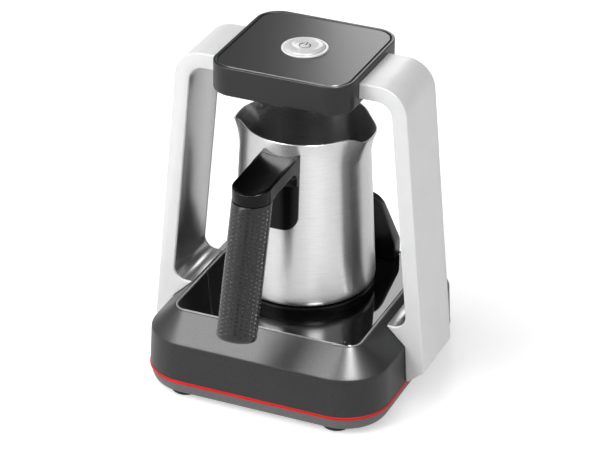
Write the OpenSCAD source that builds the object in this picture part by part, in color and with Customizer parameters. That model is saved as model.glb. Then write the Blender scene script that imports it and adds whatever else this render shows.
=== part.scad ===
// Electric turkish coffee maker: a square base with a heating plate under a glass top,
// two legs that carry a control head over it, and a loose steel pot with a side handle.
// Millimetres. +Z is up, the pot's handle points to -Y, and the feet stand on z = 0.
// The origin is at the bottom centre of the whole object's box.

/* [Base] */
// Width and depth of the base at the red line
base_w = 151.6; // [146:0.2:156]
// Corner radius of the base at the red line
base_r = 28.9; // [26:0.1:31]
// Height of the feet under the pan
foot_h = 3.4; // [2.5:0.1:5]
// Height of the red line's centre
trim_z = 12.6; // [11:0.1:14]
// Height of the shoulder where the side turns into the slope
shoulder_z = 37.2; // [34:0.1:39]
// How far the side leans in from the red line to the shoulder
side_lean = 1.1; // [0:0.1:2]
// Height of the rim and of the glass
rim_z = 51.7; // [50:0.1:53]
// Width of the rim's square
rim_w = 119.5; // [117:0.1:121]
// Thickness of the plastic walls
wall = 2.4; // [2:0.1:3]

/* [Legs] */
// Half of the distance between the legs' outer faces, extended down to the floor
leg_out = 89.3; // [88:0.1:91]
// How far each leg leans in for each millimetre of height
leg_lean = 0.0917; // [0.08:0.001:0.1]
// Thickness of a leg
leg_t = 9.6; // [9:0.1:10]
// Depth of a leg, front to back
leg_d = 45; // [40:0.5:48]
// Outer radius of the bend at the top
bend_r = 18; // [16:0.5:19]
// Radius between a leg's inner face and its foot
foot_bend_r = 7.5; // [6:0.5:8]
// Height of a foot's upper face
foot_top_z = 48.9; // [48.5:0.1:49.2]

/* [Head] */
// Width and depth of the head
head_w = 86.3; // [84:0.1:90]
// Corner radius of the head
head_r = 14.6; // [12:0.1:17]
// Height of the head's lower face
head_z = 188.1; // [186:0.1:189]
// Height of the head's upper face
top_z = 206; // [205:0.1:207]
// Outer radius of the ring round the button
ring_r = 13.6; // [13:0.1:14.5]
// How far the button moves when pressed
button_travel = 1.5; // [1:0.1:1.6]

/* [Pot] */
// Height of the surface that the pot stands on
plate_z = 56.6; // [55.5:0.1:57.5]
// Radius of the pot at its bottom
pot_r_low = 42.7; // [42:0.1:43]
// Radius of the pot at its rim
pot_r_top = 37.7; // [36:0.1:39]
// Height of the pot
pot_h = 104.3; // [98:0.1:106]
// How far a spout's nose stands out from the rim
spout_out = 4.9; // [4:0.1:7]
// Angle between the handle and each spout, seen from above
spout_angle = 93; // [75:1:105]
// How far the pot stands turned on its plate, seen from above
pot_turn = 1.5; // [0:0.5:4]

/* [Handle] */
// Distance from the pot's axis to the top of the grip
grip_reach = 80.2; // [78:0.1:84]
// Height of the joint between the collar and the grip
collar_z = 146.3; // [144:0.1:148]
// Radius of the grip
grip_r = 11.6; // [11:0.1:12.5]
// Length of the grip along its axis
grip_len = 82; // [74:0.5:84]
// How far the grip's lower end leans away from the pot, in degrees
grip_tilt = 16.8; // [14:0.1:18]
// Width of the bracket
bracket_w = 23; // [21:0.1:24]

/* [Hidden] */

$fn = 96;
eps = 0.01;

// Base
base_half = base_w / 2;
corner = base_half - base_r;          // centre of each corner's rounding
rim_half = rim_w / 2;
trim_h = 1.3;
trim_top = trim_z + trim_h / 2;
trim_low = trim_z - trim_h / 2;
trim_out = 0.25;                      // how far the red line stands out
deck_t = 2.4;
glass_t = 3.2;
seal_t = 0.8;
bezel_w = 1.2;                        // width of the bead round the glass
glass_half = rim_half - 2.1;
ledge_in = 6;                         // how far the deck's ledge reaches in from the rim
glass_low = rim_z - glass_t;
deck_top = glass_low - seal_t;
deck_low = deck_top - deck_t;
pan_edge = 3.6;                       // how far the pan's lower edge is set in
pan_round_h = 8.2;
pan_floor_in = 6.4;                   // how far the pan's flat floor stays inside the red line
boss_x = 38;
boss_y = 48.5;
boss_r = 4;
boss_low = foot_h + 6;
screw_r = 1.4;
screw_head_r = 2.8;
screw_head_t = 1.8;
foot_r = 9;
foot_x = 48.5;
foot_y = 61.6;

// Heater
pot_y = 2.3;                          // the pot's axis is a little behind the base's centre
plate_r = 42;
plate_flange_r = 44.2;
plate_hole_r = 42.3;
plate_low = deck_low;
flange_t = 2.2;
element_ring_r = 30;
element_tube_r = 3.2;
clamp_r = 36;
clamp_t = 2;
clamp_top = plate_low - 2 * element_tube_r;
probe_r = 5;
probe_travel = 2;
probe_top = plate_z - 0.1;
probe_flange_r = 6.4;
probe_flange_top = plate_z - 6;
probe_well_r = 7.4;
probe_stem_low = clamp_top + probe_travel + 1.2;
sensor_at = 13;                       // both sensors sit on one diagonal, the strut on the other
thermostat_r = 7;
fuse_r = 2.4;
stub_x = 7;                           // the element's two ends, which turn down
stub_y = element_ring_r - 0.9;
stub_r = 1.6;
stub_low = plate_low - 9;
strut_w = 14;
strut_t = 1.5;
strut_reach = 50;
strut_low = clamp_top - clamp_t - strut_t;
strut_boss_r = 3.6;
strut_boss_low = deck_low - 6;

// Electronics in the base
floor_top = foot_h + wall;
board_x = 90;
board_y = 76;
board_t = 1.6;
board_low = 12;
board_top = board_low + board_t;
board_post_x = 41;
board_post_y = 33;
cord_r = 3.4;
cord_z = 22;
gland_neck_r = 6.9;
gland_flange_r = 8.2;
block_d = 9;
lead_y = pot_y + stub_y;
block_y = lead_y - block_d / 2;
lead_r = 1.1;
lead_low = board_top + 8;
supply_x = 4;                         // the terminal block's two holes for the supply wires
connector_x = 35;

// Legs and head
strap_top = top_z - 4.3;
strap_low = strap_top - leg_t;
leg_low = 22.4;
leg_tip = 13.9;
liner_t = 1.6;
liner_gap = 1.3;
leg_wall = 2.2;
leg_fit = 0.15;
tongue_in = 30;
head_half = head_w / 2;
head_wall = 2.2;
groove = 0.5;
lid_half = head_half - head_wall - groove;
lid_r = head_r - head_wall - groove;
lid_t = 2.4;
lid_low = top_z - lid_t;
head_floor = head_z + 2;
window_r = 7;
post_top = 196;
post_x = 21;
post_y = 27;
head_board_x = 52;
head_board_y = 62;
board_head_top = post_top + board_t;
button_r = ring_r - 1.7;
ring_h = 0.8;
button_top = top_z + ring_h + 1.7;
button_low = lid_low - 0.6;
stem_r = 2.6;
switch_h = 3.4;
plunger_r = 1.7;
plunger_low = board_head_top + 0.3 + button_travel;
plunger_top = board_head_top + switch_h + button_travel + 0.6;

// Pot
steel_t = 0.9;
pot_low = plate_z + 0.05;             // a hair above the plate, so that the two don't cross
pot_top = pot_low + pot_h;
pot_edge_r = 4.5;
spout_dip = 4;
spout_spread = 28;                    // half of the rim's arc that a spout takes, in degrees
spout_nose = 13;                      // half of the arc that its nose takes
spout_root = 17;                      // how far down the wall a spout starts
arm_top = pot_top - 5.2;
arm_low = collar_z + 0.9;
dish_r = 34;
dish_depth = 2;
tab_low = pot_low + 51.6;
tab_corner = 8;                       // rounding of the tab's two lower corners
tab_t = 3;
tab_fillet = 6;
plate_inset = 1.4;
sleeve_t = 2;
pin_r = 5;                            // pin on the grip's core, held in the collar
pin_h = 3.6;
grip_edge = 3;                        // rounding of the grip's lower end
skin = 0.05;                          // gap between two fixed pieces whose curved faces meet

// The box's centre is in front of the base's, because the grip stands out
grip_end_y = pot_y - (grip_reach + (grip_len - grip_edge) * sin(grip_tilt)) * cos(pot_turn)
    - (grip_r - grip_edge) * cos(grip_tilt) - grip_edge;
base_y = -(grip_end_y + base_half + trim_out) / 2;

// Outline helpers ----------------------------------------------------------------

// Points of a chain of corners, each rounded with its own radius
function unit(v) = v / norm(v);
function turned(a, b) = atan2(a.x * b.y - a.y * b.x, a * b);
function corner_arc(a, p, b, r, n = 10) =
    r <= 0 ? [p] :
    let (u = unit(a - p), v = unit(b - p), half = acos(u * v) / 2,
         mid = p + unit(u + v) * r / sin(half),
         first = p + u * r / tan(half) - mid, last = p + v * r / tan(half) - mid,
         sweep = turned(first, last))
    [for (i = [0 : n]) mid + [first.x * cos(sweep * i / n) - first.y * sin(sweep * i / n),
                              first.x * sin(sweep * i / n) + first.y * cos(sweep * i / n)]];
function rounded(points, radii, n = 10) =
    let (count = len(points))
    [for (i = [0 : count - 1])
        each corner_arc(points[(i + count - 1) % count], points[i], points[(i + 1) % count],
                        radii[i], n)];

module at_base() {
    translate([0, base_y, 0]) children();
}

// A square with round corners
module round_square(half, r) {
    in = half - r;
    square([2 * half, 2 * in], center = true);
    square([2 * in, 2 * half], center = true);
    for (x = [-in, in], y = [-in, in]) translate([x, y]) circle(r);
}

module round_slab(half, r, low, high) {
    translate([0, 0, low]) linear_extrude(high - low) round_square(half, r);
}

// A wall profile (distance from the corner's centre, height) carried round a rounded square
module square_sweep(in) {
    for (a = [0 : 90 : 270]) rotate([0, 0, a]) {
        translate([in, in, 0]) rotate_extrude(angle = 90) children();
        translate([in, -in, 0]) rotate([90, 0, 180]) mirror([1, 0, 0])
            linear_extrude(2 * in) children();
    }
}

module four(x, y) {
    for (sx = [-1, 1], sy = [-1, 1]) translate([sx * x, sy * y, 0]) children();
}

module screw(low, high, head_low) {
    // The head is at the end that head_low gives, and the shank runs from low to high
    translate([0, 0, low]) cylinder(r = screw_r - skin, h = high - low);
    translate([0, 0, head_low]) cylinder(r = screw_head_r, h = screw_head_t);
}

// The two ends of the strut that carries the heater, on a diagonal
module strut_ends() {
    for (a = [45, 225]) rotate([0, 0, a]) translate([strut_reach, 0, 0]) children();
}

// Points along X, with +Z turned outwards to the left or right
module at_leg_screws() {
    for (s = [-1, 1], y = [-leg_screw_y, leg_screw_y]) translate([s * leg_screw_x, y, leg_screw_z])
        rotate([0, s * 90, 0]) children();
}

module at_strap_screws() {
    for (s = [-1, 1], y = [-strap_screw_y, strap_screw_y]) translate([s * strap_screw_x, y, 0])
        children();
}

// Base ---------------------------------------------------------------------------

slope_run = base_half - side_lean - rim_half;
shoulder_rho = base_r - side_lean;
rim_rho = rim_half - corner;

module shell_profile() {
    polygon([
        [base_r, trim_top], each corner_arc([base_r, trim_top], [shoulder_rho, shoulder_z],
                                            [rim_rho, rim_z], 2.5, 6),
        [rim_rho, rim_z], [rim_rho - bezel_w * 0.5, rim_z], [rim_rho - bezel_w * 0.5, deck_top],
        [rim_rho - ledge_in, deck_top], [rim_rho - ledge_in, deck_low],
        [rim_rho - wall, deck_low], [shoulder_rho - wall, shoulder_z - 1], [base_r - wall, trim_top]
    ]);
}

module deck() {
    difference() {
        round_slab(rim_half - ledge_in + 1, 10, deck_low, deck_top);
        translate([0, pot_y, deck_low - 1]) cylinder(r = plate_flange_r + 0.4, h = deck_t + 2);
    }
}

module base_shell() at_base() color("#4a4b4d") difference() {
    union() {
        square_sweep(corner) shell_profile();
        deck();
        four(boss_x, boss_y) translate([0, 0, boss_low])
            cylinder(r = boss_r, h = deck_low - boss_low + eps);
        translate([0, pot_y, strut_boss_low]) strut_ends()
            cylinder(r = strut_boss_r, h = deck_low - strut_boss_low + eps);
    }
    four(boss_x, boss_y) translate([0, 0, boss_low - 1]) cylinder(r = screw_r, h = 14);
    translate([0, pot_y, strut_boss_low - 1]) strut_ends() cylinder(r = screw_r, h = 6);
    // Hole in the back for the cord's gland, with a shallow seat for its flange
    translate([0, base_half - 12, cord_z]) rotate([-90, 0, 0]) cylinder(r = gland_neck_r + 0.1, h = 20);
    translate([0, base_half - 1.2, cord_z]) rotate([-90, 0, 0])
        cylinder(r = gland_flange_r + 0.2, h = 5);
    // Way for the signal cable, and screw holes with head pockets on the inside
    translate([corner, -cable_way / 2, cable_way_low]) cube([base_r, cable_way, cable_way_h]);
    at_leg_screws() translate([0, 0, -12]) {
        cylinder(r = screw_r + 0.3, h = 16);
        cylinder(r = screw_head_r + 0.3, h = 12 - leg_screw_grip);
    }
}

module rim_bezel() at_base() color("#6e6f71") {
    square_sweep(corner) polygon([
        [rim_rho - 0.6, deck_top + 0.4], [rim_rho - 0.6, rim_z + 0.15],
        [rim_rho - 0.9, rim_z + 0.4], [rim_rho - 1.4, rim_z + 0.4], [rim_rho - 1.7, rim_z + 0.15],
        [rim_rho - 1.7, deck_top + 0.4]
    ]);
}

module glass_plate() at_base() color("#101012") difference() {
    round_slab(glass_half, glass_half - corner, glass_low, rim_z);
    translate([0, pot_y, glass_low - 1]) cylinder(r = plate_hole_r, h = glass_t + 2);
}

module glass_seal() at_base() color("#303033") difference() {
    round_slab(glass_half - 0.5, 10, deck_top, glass_low);
    round_slab(glass_half - 5.5, 8, deck_top - 1, glass_low + 1);
}

guard_h = 42;
guard_half = 40.2;
guard_top_half = 28.7;
guard_straight = 12;                  // height up to which its ends stand upright
guard_front = 47.5;
guard_back = 57;
guard_back_top = 52.5;

module rear_guard() at_base() color("#1c1d1f") intersection() {
    translate([0, guard_back, 0]) rotate([90, 0, 0]) linear_extrude(guard_back - guard_front)
        polygon(rounded([[-guard_half, rim_z], [guard_half, rim_z],
                         [guard_half, rim_z + guard_straight], [guard_top_half, rim_z + guard_h],
                         [-guard_top_half, rim_z + guard_h], [-guard_half, rim_z + guard_straight]],
                        [0, 0, 8, 12, 12, 8]));
    rotate([90, 0, 90]) linear_extrude(2 * guard_half + 2, center = true)
        polygon([[guard_front - 1, rim_z], [guard_back, rim_z], [guard_back, rim_z + 8],
                 [guard_back_top, rim_z + guard_h + 1], [guard_front - 1, rim_z + guard_h + 1]]);
}

module red_trim() at_base() color("#e3151a") square_sweep(corner) polygon([
    [base_r - wall, trim_low], [base_r, trim_low], [base_r + trim_out, trim_low + 0.3],
    [base_r + trim_out, trim_top - 0.3], [base_r, trim_top], [base_r - wall, trim_top]
]);

module pan_profile(inner) {
    // The pan's side curves in under the red line
    polygon([
        each [for (a = [0 : 15 : 75]) [base_r - 0.6 - pan_edge + pan_edge * cos(a) - inner,
                                       trim_low - pan_round_h * sin(a)]],
        [base_r - 0.6 - pan_edge - 1.8 - inner, foot_h + inner],
        [base_r - 0.6 - 8 - inner, foot_h + inner], [base_r - 0.6 - 8 - inner, trim_low]
    ]);
}

module bottom_pan() at_base() color("#6b6c6e") {
    difference() {
        union() {
            difference() {
                square_sweep(corner) pan_profile(0);
                square_sweep(corner) translate([0, wall]) pan_profile(wall);
            }
            round_slab(base_half - pan_floor_in, base_r - pan_floor_in, foot_h, floor_top);
            four(board_post_x, board_post_y) translate([0, 0, floor_top - eps])
                cylinder(r = 3.4, h = board_low - floor_top + eps);
            four(boss_x, boss_y) translate([0, 0, floor_top - eps])
                cylinder(r = boss_r, h = boss_low - floor_top + eps);
        }
        four(board_post_x, board_post_y) translate([0, 0, floor_top + 0.6])
            cylinder(r = screw_r, h = 12);
        four(boss_x, boss_y) {
            translate([0, 0, foot_h - 1]) cylinder(r = screw_head_r + 0.3, h = 3.4);
            translate([0, 0, foot_h]) cylinder(r = screw_r + 0.3, h = 12);
        }
        four(foot_x, foot_y) translate([0, 0, foot_h - 1]) cylinder(r = spigot_r + 0.1, h = 2.6);
        // Air slots
        for (x = [-30 : 6 : 30]) translate([x - 1, -16, foot_h - 1]) cube([2, 32, wall + 2]);
    }
}

spigot_r = 4.9;                       // the part of a foot that is held in the pan

module feet() at_base() color("#151516") four(foot_x, foot_y) {
    rotate_extrude() polygon([[0, 0], [foot_r - 1.5, 0], [foot_r - 0.4, 0.5], [foot_r, 1.6],
                              [foot_r, foot_h], [0, foot_h]]);
    translate([0, 0, foot_h - eps]) cylinder(r = spigot_r, h = 1.5);
}

module pan_screws() at_base() color("#b8b9bb") four(boss_x, boss_y)
    screw(foot_h + 0.6, boss_low + 10, foot_h + 0.6);

// Heater -------------------------------------------------------------------------

module at_pot() {
    translate([0, base_y + pot_y, 0]) children();
}

module heating_plate() at_pot() color("#17181a") rotate_extrude() polygon([
    [probe_r + 0.3, probe_flange_top + 0.4], [probe_r + 0.3, plate_z], [plate_r - 0.8, plate_z],
    [plate_r, plate_z - 0.8], [plate_r, plate_low + flange_t], [plate_flange_r, plate_low + flange_t],
    [plate_flange_r, plate_low], [probe_well_r, plate_low], [probe_well_r, probe_flange_top + 0.4]
]);

module plate_seal() at_pot() color("#3a3a3d") translate([0, 0, plate_low + flange_t])
    difference() {
        cylinder(r = plate_flange_r, h = glass_low - plate_low - flange_t);
        translate([0, 0, -1]) cylinder(r = plate_r + 0.1, h = 10);
    }

module heating_element() at_pot() color("#8f8a83") {
    difference() {
        rotate_extrude() translate([element_ring_r, plate_low - element_tube_r])
            circle(element_tube_r - skin, $fn = 32);
        // The ring is open at the back, where its two ends turn down
        translate([-stub_x, 0, plate_low - 8]) cube([2 * stub_x, 40, 9]);
    }
    for (s = [-1, 1]) translate([s * stub_x, stub_y, stub_low]) cylinder(r = stub_r, h = 6);
}

module element_clamp() at_pot() color("#a9abad") translate([0, 0, clamp_top - clamp_t])
    difference() {
        cylinder(r = clamp_r, h = clamp_t);
        translate([-11, element_ring_r - 5, -1]) cube([22, 14, 6]);
        translate([0, 0, -1]) cylinder(r = 3.4, h = 6);
        translate([-sensor_at, sensor_at, -1]) cylinder(r = fuse_r + 0.3, h = 6);
        translate([sensor_at, -sensor_at, -1]) cylinder(r = thermostat_r + 0.3, h = 6);
    }

module heater_bracket() at_pot() color("#9b9da0") {
    difference() {
        rotate([0, 0, 45]) translate([-strut_reach + 4, -strut_w / 2, strut_low])
            cube([2 * strut_reach - 8, strut_w, strut_t]);
        translate([0, 0, strut_low - 1]) cylinder(r = 3.4, h = 6);
    }
    strut_ends() {
        translate([-strut_t - 4, -strut_w / 2, strut_low])
            cube([strut_t, strut_w, strut_boss_low - strut_low]);
        difference() {
            translate([-strut_t - 4, -strut_w / 2, strut_boss_low - strut_t]) cube([10, strut_w, strut_t]);
            translate([0, 0, strut_boss_low - 3]) cylinder(r = screw_r + 0.2, h = 4);
        }
    }
}

module bracket_screws() at_pot() color("#b8b9bb") strut_ends()
    screw(strut_boss_low - strut_t - screw_head_t, strut_boss_low + 4,
          strut_boss_low - strut_t - screw_head_t);

module thermostat() at_pot() color("#e8e4da") translate([sensor_at, -sensor_at, clamp_top - 6])
    cylinder(r = thermostat_r, h = plate_low - clamp_top + 6);

module thermal_fuse() at_pot() color("#d9d2c0") translate([-sensor_at, sensor_at, clamp_top - 4])
    cylinder(r = fuse_r, h = plate_low - clamp_top + 4);

module temperature_probe() at_pot() color("#c7c9cc") rotate_extrude() polygon([
    [0, probe_stem_low], [2.6, probe_stem_low], [2.6, probe_flange_top - 1.5],
    [probe_flange_r, probe_flange_top - 1.5], [probe_flange_r, probe_flange_top],
    [probe_r, probe_flange_top], [probe_r, probe_top - 0.6], [probe_r - 0.6, probe_top], [0, probe_top]
]);

module probe_spring() at_pot() color("#c9cbcd") translate([0, 0, clamp_top]) difference() {
    cylinder(r = 5.6, h = probe_flange_top - 1.5 - clamp_top);
    translate([0, 0, -1]) cylinder(r = 4.6, h = 30);
}

// Electronics in the base --------------------------------------------------------

module main_board() at_base() color("#2f6b3c") difference() {
    translate([-board_x / 2, -board_y / 2, board_low]) cube([board_x, board_y, board_t]);
    four(board_post_x, board_post_y) translate([0, 0, board_low - 1])
        cylinder(r = screw_r + 0.2, h = board_t + 2);
}

module board_screws() at_base() color("#b8b9bb") four(board_post_x, board_post_y)
    screw(board_low - 5, board_top, board_top);

module transformer() at_base() color("#e0b83c") {
    translate([-34, -22, board_top]) cube([26, 20, 3]);
    translate([-30, -22, board_top + 3]) cube([18, 20, 12]);
    translate([-34, -22, board_top + 15]) cube([26, 20, 3]);
}

module power_relay() at_base() color("#2b4a8c") translate([14, -20, board_top]) cube([19, 15, 15]);

module filter_capacitor() at_base() color("#2a2a55") translate([-25, 14, board_top])
    cylinder(r = 6, h = 15);

module terminal_block() at_base() color("#3c8a4a") difference() {
    translate([-11, block_y, board_top]) cube([22, block_d, 13]);
    for (s = [-1, 1]) {
        translate([s * supply_x, lead_y, cord_z]) rotate([-90, 0, 0]) cylinder(r = lead_r + 0.1, h = block_d);
        translate([s * stub_x, lead_y, lead_low]) cylinder(r = lead_r + 0.1, h = 9);
    }
}

module buzzer() at_base() color("#161618") translate([26, 8, board_top]) difference() {
    cylinder(r = 6, h = 7.5);
    translate([0, 0, 5]) cylinder(r = 1, h = 4);
}

module signal_connector() at_base() color("#f0efe8") difference() {
    translate([connector_x, -5, board_top]) cube([7, 10, 7]);
    translate([connector_x + 5, -4, board_top + 2]) cube([4, 8, 3]);
}

module heater_leads() at_base() color("#c03a2b") for (s = [-1, 1])
    translate([s * stub_x, lead_y, lead_low]) cylinder(r = lead_r, h = stub_low - lead_low);

module cord_gland() at_base() color("#1a1a1c") translate([0, 0, cord_z]) rotate([-90, 0, 0])
    rotate_extrude() polygon([
        [cord_r, base_half - 14], [gland_flange_r + 0.2, base_half - 14],
        [gland_flange_r + 0.2, base_half - 3.4], [gland_neck_r, base_half - 3.4],
        [gland_neck_r, base_half - 1.1], [gland_flange_r, base_half - 1.1],
        [gland_flange_r - 0.8, base_half - 0.2], [cord_r, base_half - 0.2]
    ]);

// A bar across the cord, on the floor of the pan, that takes the pull
clamp_bar_y = base_half - 19.4;
clamp_bar_t = 5;
clamp_squeeze = 0.4;                  // how far the bar presses into the cord

module cord_clamp() at_base() color("#77797c") difference() {
    translate([-11, clamp_bar_y, floor_top]) cube([22, clamp_bar_t, cord_z + 8 - floor_top]);
    translate([0, clamp_bar_y - 1, cord_z]) rotate([-90, 0, 0])
        cylinder(r = cord_r - clamp_squeeze, h = clamp_bar_t + 2);
    for (s = [-1, 1]) translate([s * 8, clamp_bar_y + clamp_bar_t / 2, floor_top + 2])
        cylinder(r = 1, h = 30);
}

// Legs ---------------------------------------------------------------------------

function leg_x(z, inset = 0) = leg_out - leg_lean * z - inset * sqrt(1 + leg_lean * leg_lean);
function slope_x(z) = rim_half + (rim_z - z) * slope_run / (rim_z - shoulder_z);
leg_screw_z = 41;
leg_screw_x = slope_x(leg_screw_z);
leg_screw_y = 20;
leg_screw_grip = 3.4;                 // the base's wall between a screw's head and the leg
cable_way = 9;                        // opening from the right leg into the base
cable_way_low = 40;
cable_way_h = 4.6;
strap_screw_x = tongue_in + 6;
strap_screw_y = 14;
bend_in_r = bend_r - leg_t + 0.7;     // radius of the bend's inner face

// Outline of a whole leg in X and Z, from the head down to the tip beside the base
leg_outline = rounded([
    [tongue_in, strap_top], [leg_x(strap_top), strap_top], [leg_x(leg_low), leg_low],
    [base_half + 1.6, leg_tip], [base_half + leg_fit, leg_tip],
    [base_half - side_lean + leg_fit, shoulder_z], [slope_x(foot_top_z) + leg_fit, foot_top_z],
    [leg_x(foot_top_z, leg_t), foot_top_z], [leg_x(strap_low, leg_t), strap_low],
    [tongue_in, strap_low]
], [0, bend_r, 1.2, 0.8, 0, 0, 0, foot_bend_r, bend_in_r, 0]);

// Strip along the leg's inner face, between two depths under that face, and how far it runs
// on past the leg's end at the slope
function inner_strip(near, far, past = 0) = rounded([
    [head_half + 0.4, strap_low + near], [leg_x(strap_low + near, leg_t - near), strap_low + near],
    [leg_x(foot_top_z - near, leg_t - near), foot_top_z - near],
    [slope_x(foot_top_z - near) + leg_fit - past, foot_top_z - near],
    [slope_x(foot_top_z - far) + leg_fit - past, foot_top_z - far],
    [leg_x(foot_top_z - far, leg_t - far), foot_top_z - far],
    [leg_x(strap_low + far, leg_t - far), strap_low + far], [head_half + 0.4, strap_low + far]
], [0, bend_in_r + near, foot_bend_r + near, 0, 0, foot_bend_r + far, bend_in_r + far, 0]);

module leg_slab(outline, depth) {
    rotate([90, 0, 0]) linear_extrude(depth, center = true) polygon(outline);
}

module leg_shell() {
    difference() {
        leg_slab(leg_outline, leg_d);
        // Bed for the liner, and the hollow behind it
        leg_slab(inner_strip(-1, liner_t + 0.2, 3), leg_d - 2 * liner_gap);
        leg_slab(inner_strip(liner_t + 0.1, leg_t - leg_wall, 4), leg_d - 10);
        translate([0, 0, strap_low - 1]) at_strap_screws() cylinder(r = screw_r, h = 7);
        at_leg_screws() translate([0, 0, -1]) cylinder(r = screw_r, h = 6);
    }
}

module leg_liner() {
    leg_slab(inner_strip(0, liner_t), leg_d - 2 * liner_gap - 1);
}

module left_leg_shell() at_base() color("#f2f2f2") mirror([1, 0, 0]) leg_shell();

module left_leg_liner() at_base() color("#a7a9ab") mirror([1, 0, 0]) leg_liner();

module right_leg_shell() at_base() color("#f2f2f2") difference() {
    leg_shell();
    // Way for the signal cable through the tongue and down through the foot
    translate([tongue_in - 1, -cable_way / 2, strap_low + cable_in - 2])
        cube([head_half - tongue_in + 8, cable_way, 4]);
    translate([slope_x(cable_way_low + cable_way_h) - 6, -cable_way / 2, cable_way_low])
        cube([20, cable_way, cable_way_h]);
}

module right_leg_liner() at_base() color("#a7a9ab") leg_liner();

module leg_screws() at_base() color("#b8b9bb") at_leg_screws()
    screw(-leg_screw_grip, 4.6, -leg_screw_grip - screw_head_t);

// A flat cable inside the right leg, from the head's board to the main board
cable_t = 1.2;
cable_w = 7;
cable_in = 5;                         // depth of the cable under the leg's inner face
cable_foot_z = 42.6;
connector_z = board_top + 3.5;
cable_path = rounded([
    [head_board_x / 2 - 1.4, strap_low + cable_in],
    [leg_x(strap_low + cable_in, leg_t - cable_in), strap_low + cable_in],
    [leg_x(cable_foot_z, leg_t - cable_in), cable_foot_z], [57, cable_foot_z],
    [connector_x + 15, connector_z], [connector_x + 5.2, connector_z]
], [0, bend_in_r + cable_in, foot_bend_r + cable_in, 6, 6, 0], 8);

function left_of(path, i) =
    let (a = path[max(i - 1, 0)], b = path[min(i + 1, len(path) - 1)], d = unit(b - a))
    [-d.y, d.x];

module signal_cable() at_base() color("#d8d8d8") leg_slab(concat(
    [for (i = [0 : len(cable_path) - 1]) cable_path[i] + cable_t / 2 * left_of(cable_path, i)],
    [for (i = [len(cable_path) - 1 : -1 : 0]) cable_path[i] - cable_t / 2 * left_of(cable_path, i)]),
    cable_w);

// Head ---------------------------------------------------------------------------

module head_housing() at_base() color("#48494b") difference() {
    union() {
        difference() {
            union() {
                square_sweep(head_half - head_r) polygon([
                    [0, head_z], each corner_arc([0, head_z], [head_r, head_z], [head_r, top_z], 1.6, 6),
                    [head_r, top_z], [0, top_z]]);
                translate([0, 0, (head_z + top_z) / 2])
                    cube([2 * (head_half - head_r) + eps, 2 * (head_half - head_r) + eps, top_z - head_z],
                         center = true);
            }
            round_slab(head_half - head_wall, head_r - head_wall, lid_low, top_z + 1);
            round_slab(head_half - head_wall - 1.6, head_r - head_wall - 1.6, head_floor, top_z);
        }
        four(post_x, post_y) translate([0, 0, head_floor - eps])
            cylinder(r = 3, h = post_top - head_floor + eps);
        translate([0, 0, head_floor - eps]) at_strap_screws()
            cylinder(r = 3.6, h = strap_low - head_floor + eps);
    }
    // The strap's two notches in the sides
    for (s = [-1, 1]) translate([s * head_half, 0, (strap_low + strap_top) / 2])
        cube([14, leg_d + 0.5, leg_t + 0.3], center = true);
    translate([0, 0, head_z - 1]) cylinder(r = window_r, h = 4);
    four(post_x, post_y) translate([0, 0, head_floor + 1]) cylinder(r = screw_r, h = 10);
    translate([0, 0, head_z - 1]) at_strap_screws() {
        cylinder(r = screw_r + 0.3, h = 8);
        cylinder(r = screw_head_r + 0.3, h = 3);
    }
}

module head_top_plate() at_base() color("#56575a") difference() {
    round_slab(lid_half, lid_r, lid_low, top_z - 0.2);
    translate([0, 0, lid_low - 1]) cylinder(r = ring_r - 0.8, h = lid_t + 2);
}

module head_screws() at_base() color("#b8b9bb") at_strap_screws()
    screw(head_z + 0.2, strap_low + 5.5, head_z + 0.2);

module head_board() at_base() color("#2f6b3c") difference() {
    translate([-head_board_x / 2, -head_board_y / 2, post_top]) cube([head_board_x, head_board_y, board_t]);
    four(post_x, post_y) translate([0, 0, post_top - 1]) cylinder(r = screw_r + 0.2, h = 4);
    // Notch for the end of the flat cable
    translate([head_board_x / 2 - 1.5, -cable_way / 2, post_top - 1]) cube([3, cable_way, 4]);
}

module head_board_screws() at_base() color("#b8b9bb") four(post_x, post_y)
    screw(post_top - 4, board_head_top, board_head_top);

module sensor_window() at_base() color("#1a0d10") translate([0, 0, head_z + 0.2])
    cylinder(r = window_r - 0.1, h = 1.8);

module foam_sensor() at_base() color("#2c2c30") translate([0, 0, head_floor + 0.4])
    cylinder(r = 4.5, h = post_top - head_floor - 0.4);

module button_ring() at_base() color("#f4f4f4") rotate_extrude() polygon([
    [button_r + 0.15, lid_low + 0.3], [ring_r - 0.9, lid_low + 0.3], [ring_r - 0.9, top_z - 0.2],
    [ring_r, top_z - 0.2], [ring_r, top_z + ring_h - 0.4], [ring_r - 0.4, top_z + ring_h],
    [button_r + 0.5, top_z + ring_h], [button_r + 0.15, top_z + ring_h - 0.3]
]);

dish_edge = 7.3;

module power_button() at_base() color("#f4f4f4") difference() {
    rotate_extrude() polygon([
        [0, plunger_top], [stem_r, plunger_top], [stem_r, top_z - 1.6], [button_r - 1.4, top_z - 1.6],
        [button_r - 1.4, button_low], [button_r, button_low], [button_r, top_z + ring_h - 0.2],
        each [for (a = [10 : 20 : 70]) [dish_edge + (button_r - dish_edge) * cos(a),
                                        top_z + ring_h - 0.2 + 1.9 * sin(a)]],
        [dish_edge, button_top], [dish_edge - 1.2, button_top - 0.5], [0, button_top - 1.1]
    ]);
    power_mark(1);
    status_hole(0.05);
}

// The round sign for power, let into the button's dish
icon_r = 3.2;
icon_line = 0.55;
light_y = -8.6;
light_r = 0.55;

module power_mark(grow) {
    translate([0, 0, button_top - 1.6]) linear_extrude(0.7 + grow) {
        difference() {
            circle(icon_r + icon_line / 2, $fn = 48);
            circle(icon_r - icon_line / 2, $fn = 48);
            translate([-1.1, 0]) square([2.2, 5]);
        }
        translate([-icon_line / 2, 0.9]) square([icon_line, 3.4]);
    }
}

module power_icon() at_base() color("#55565a") power_mark(0);

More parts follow.
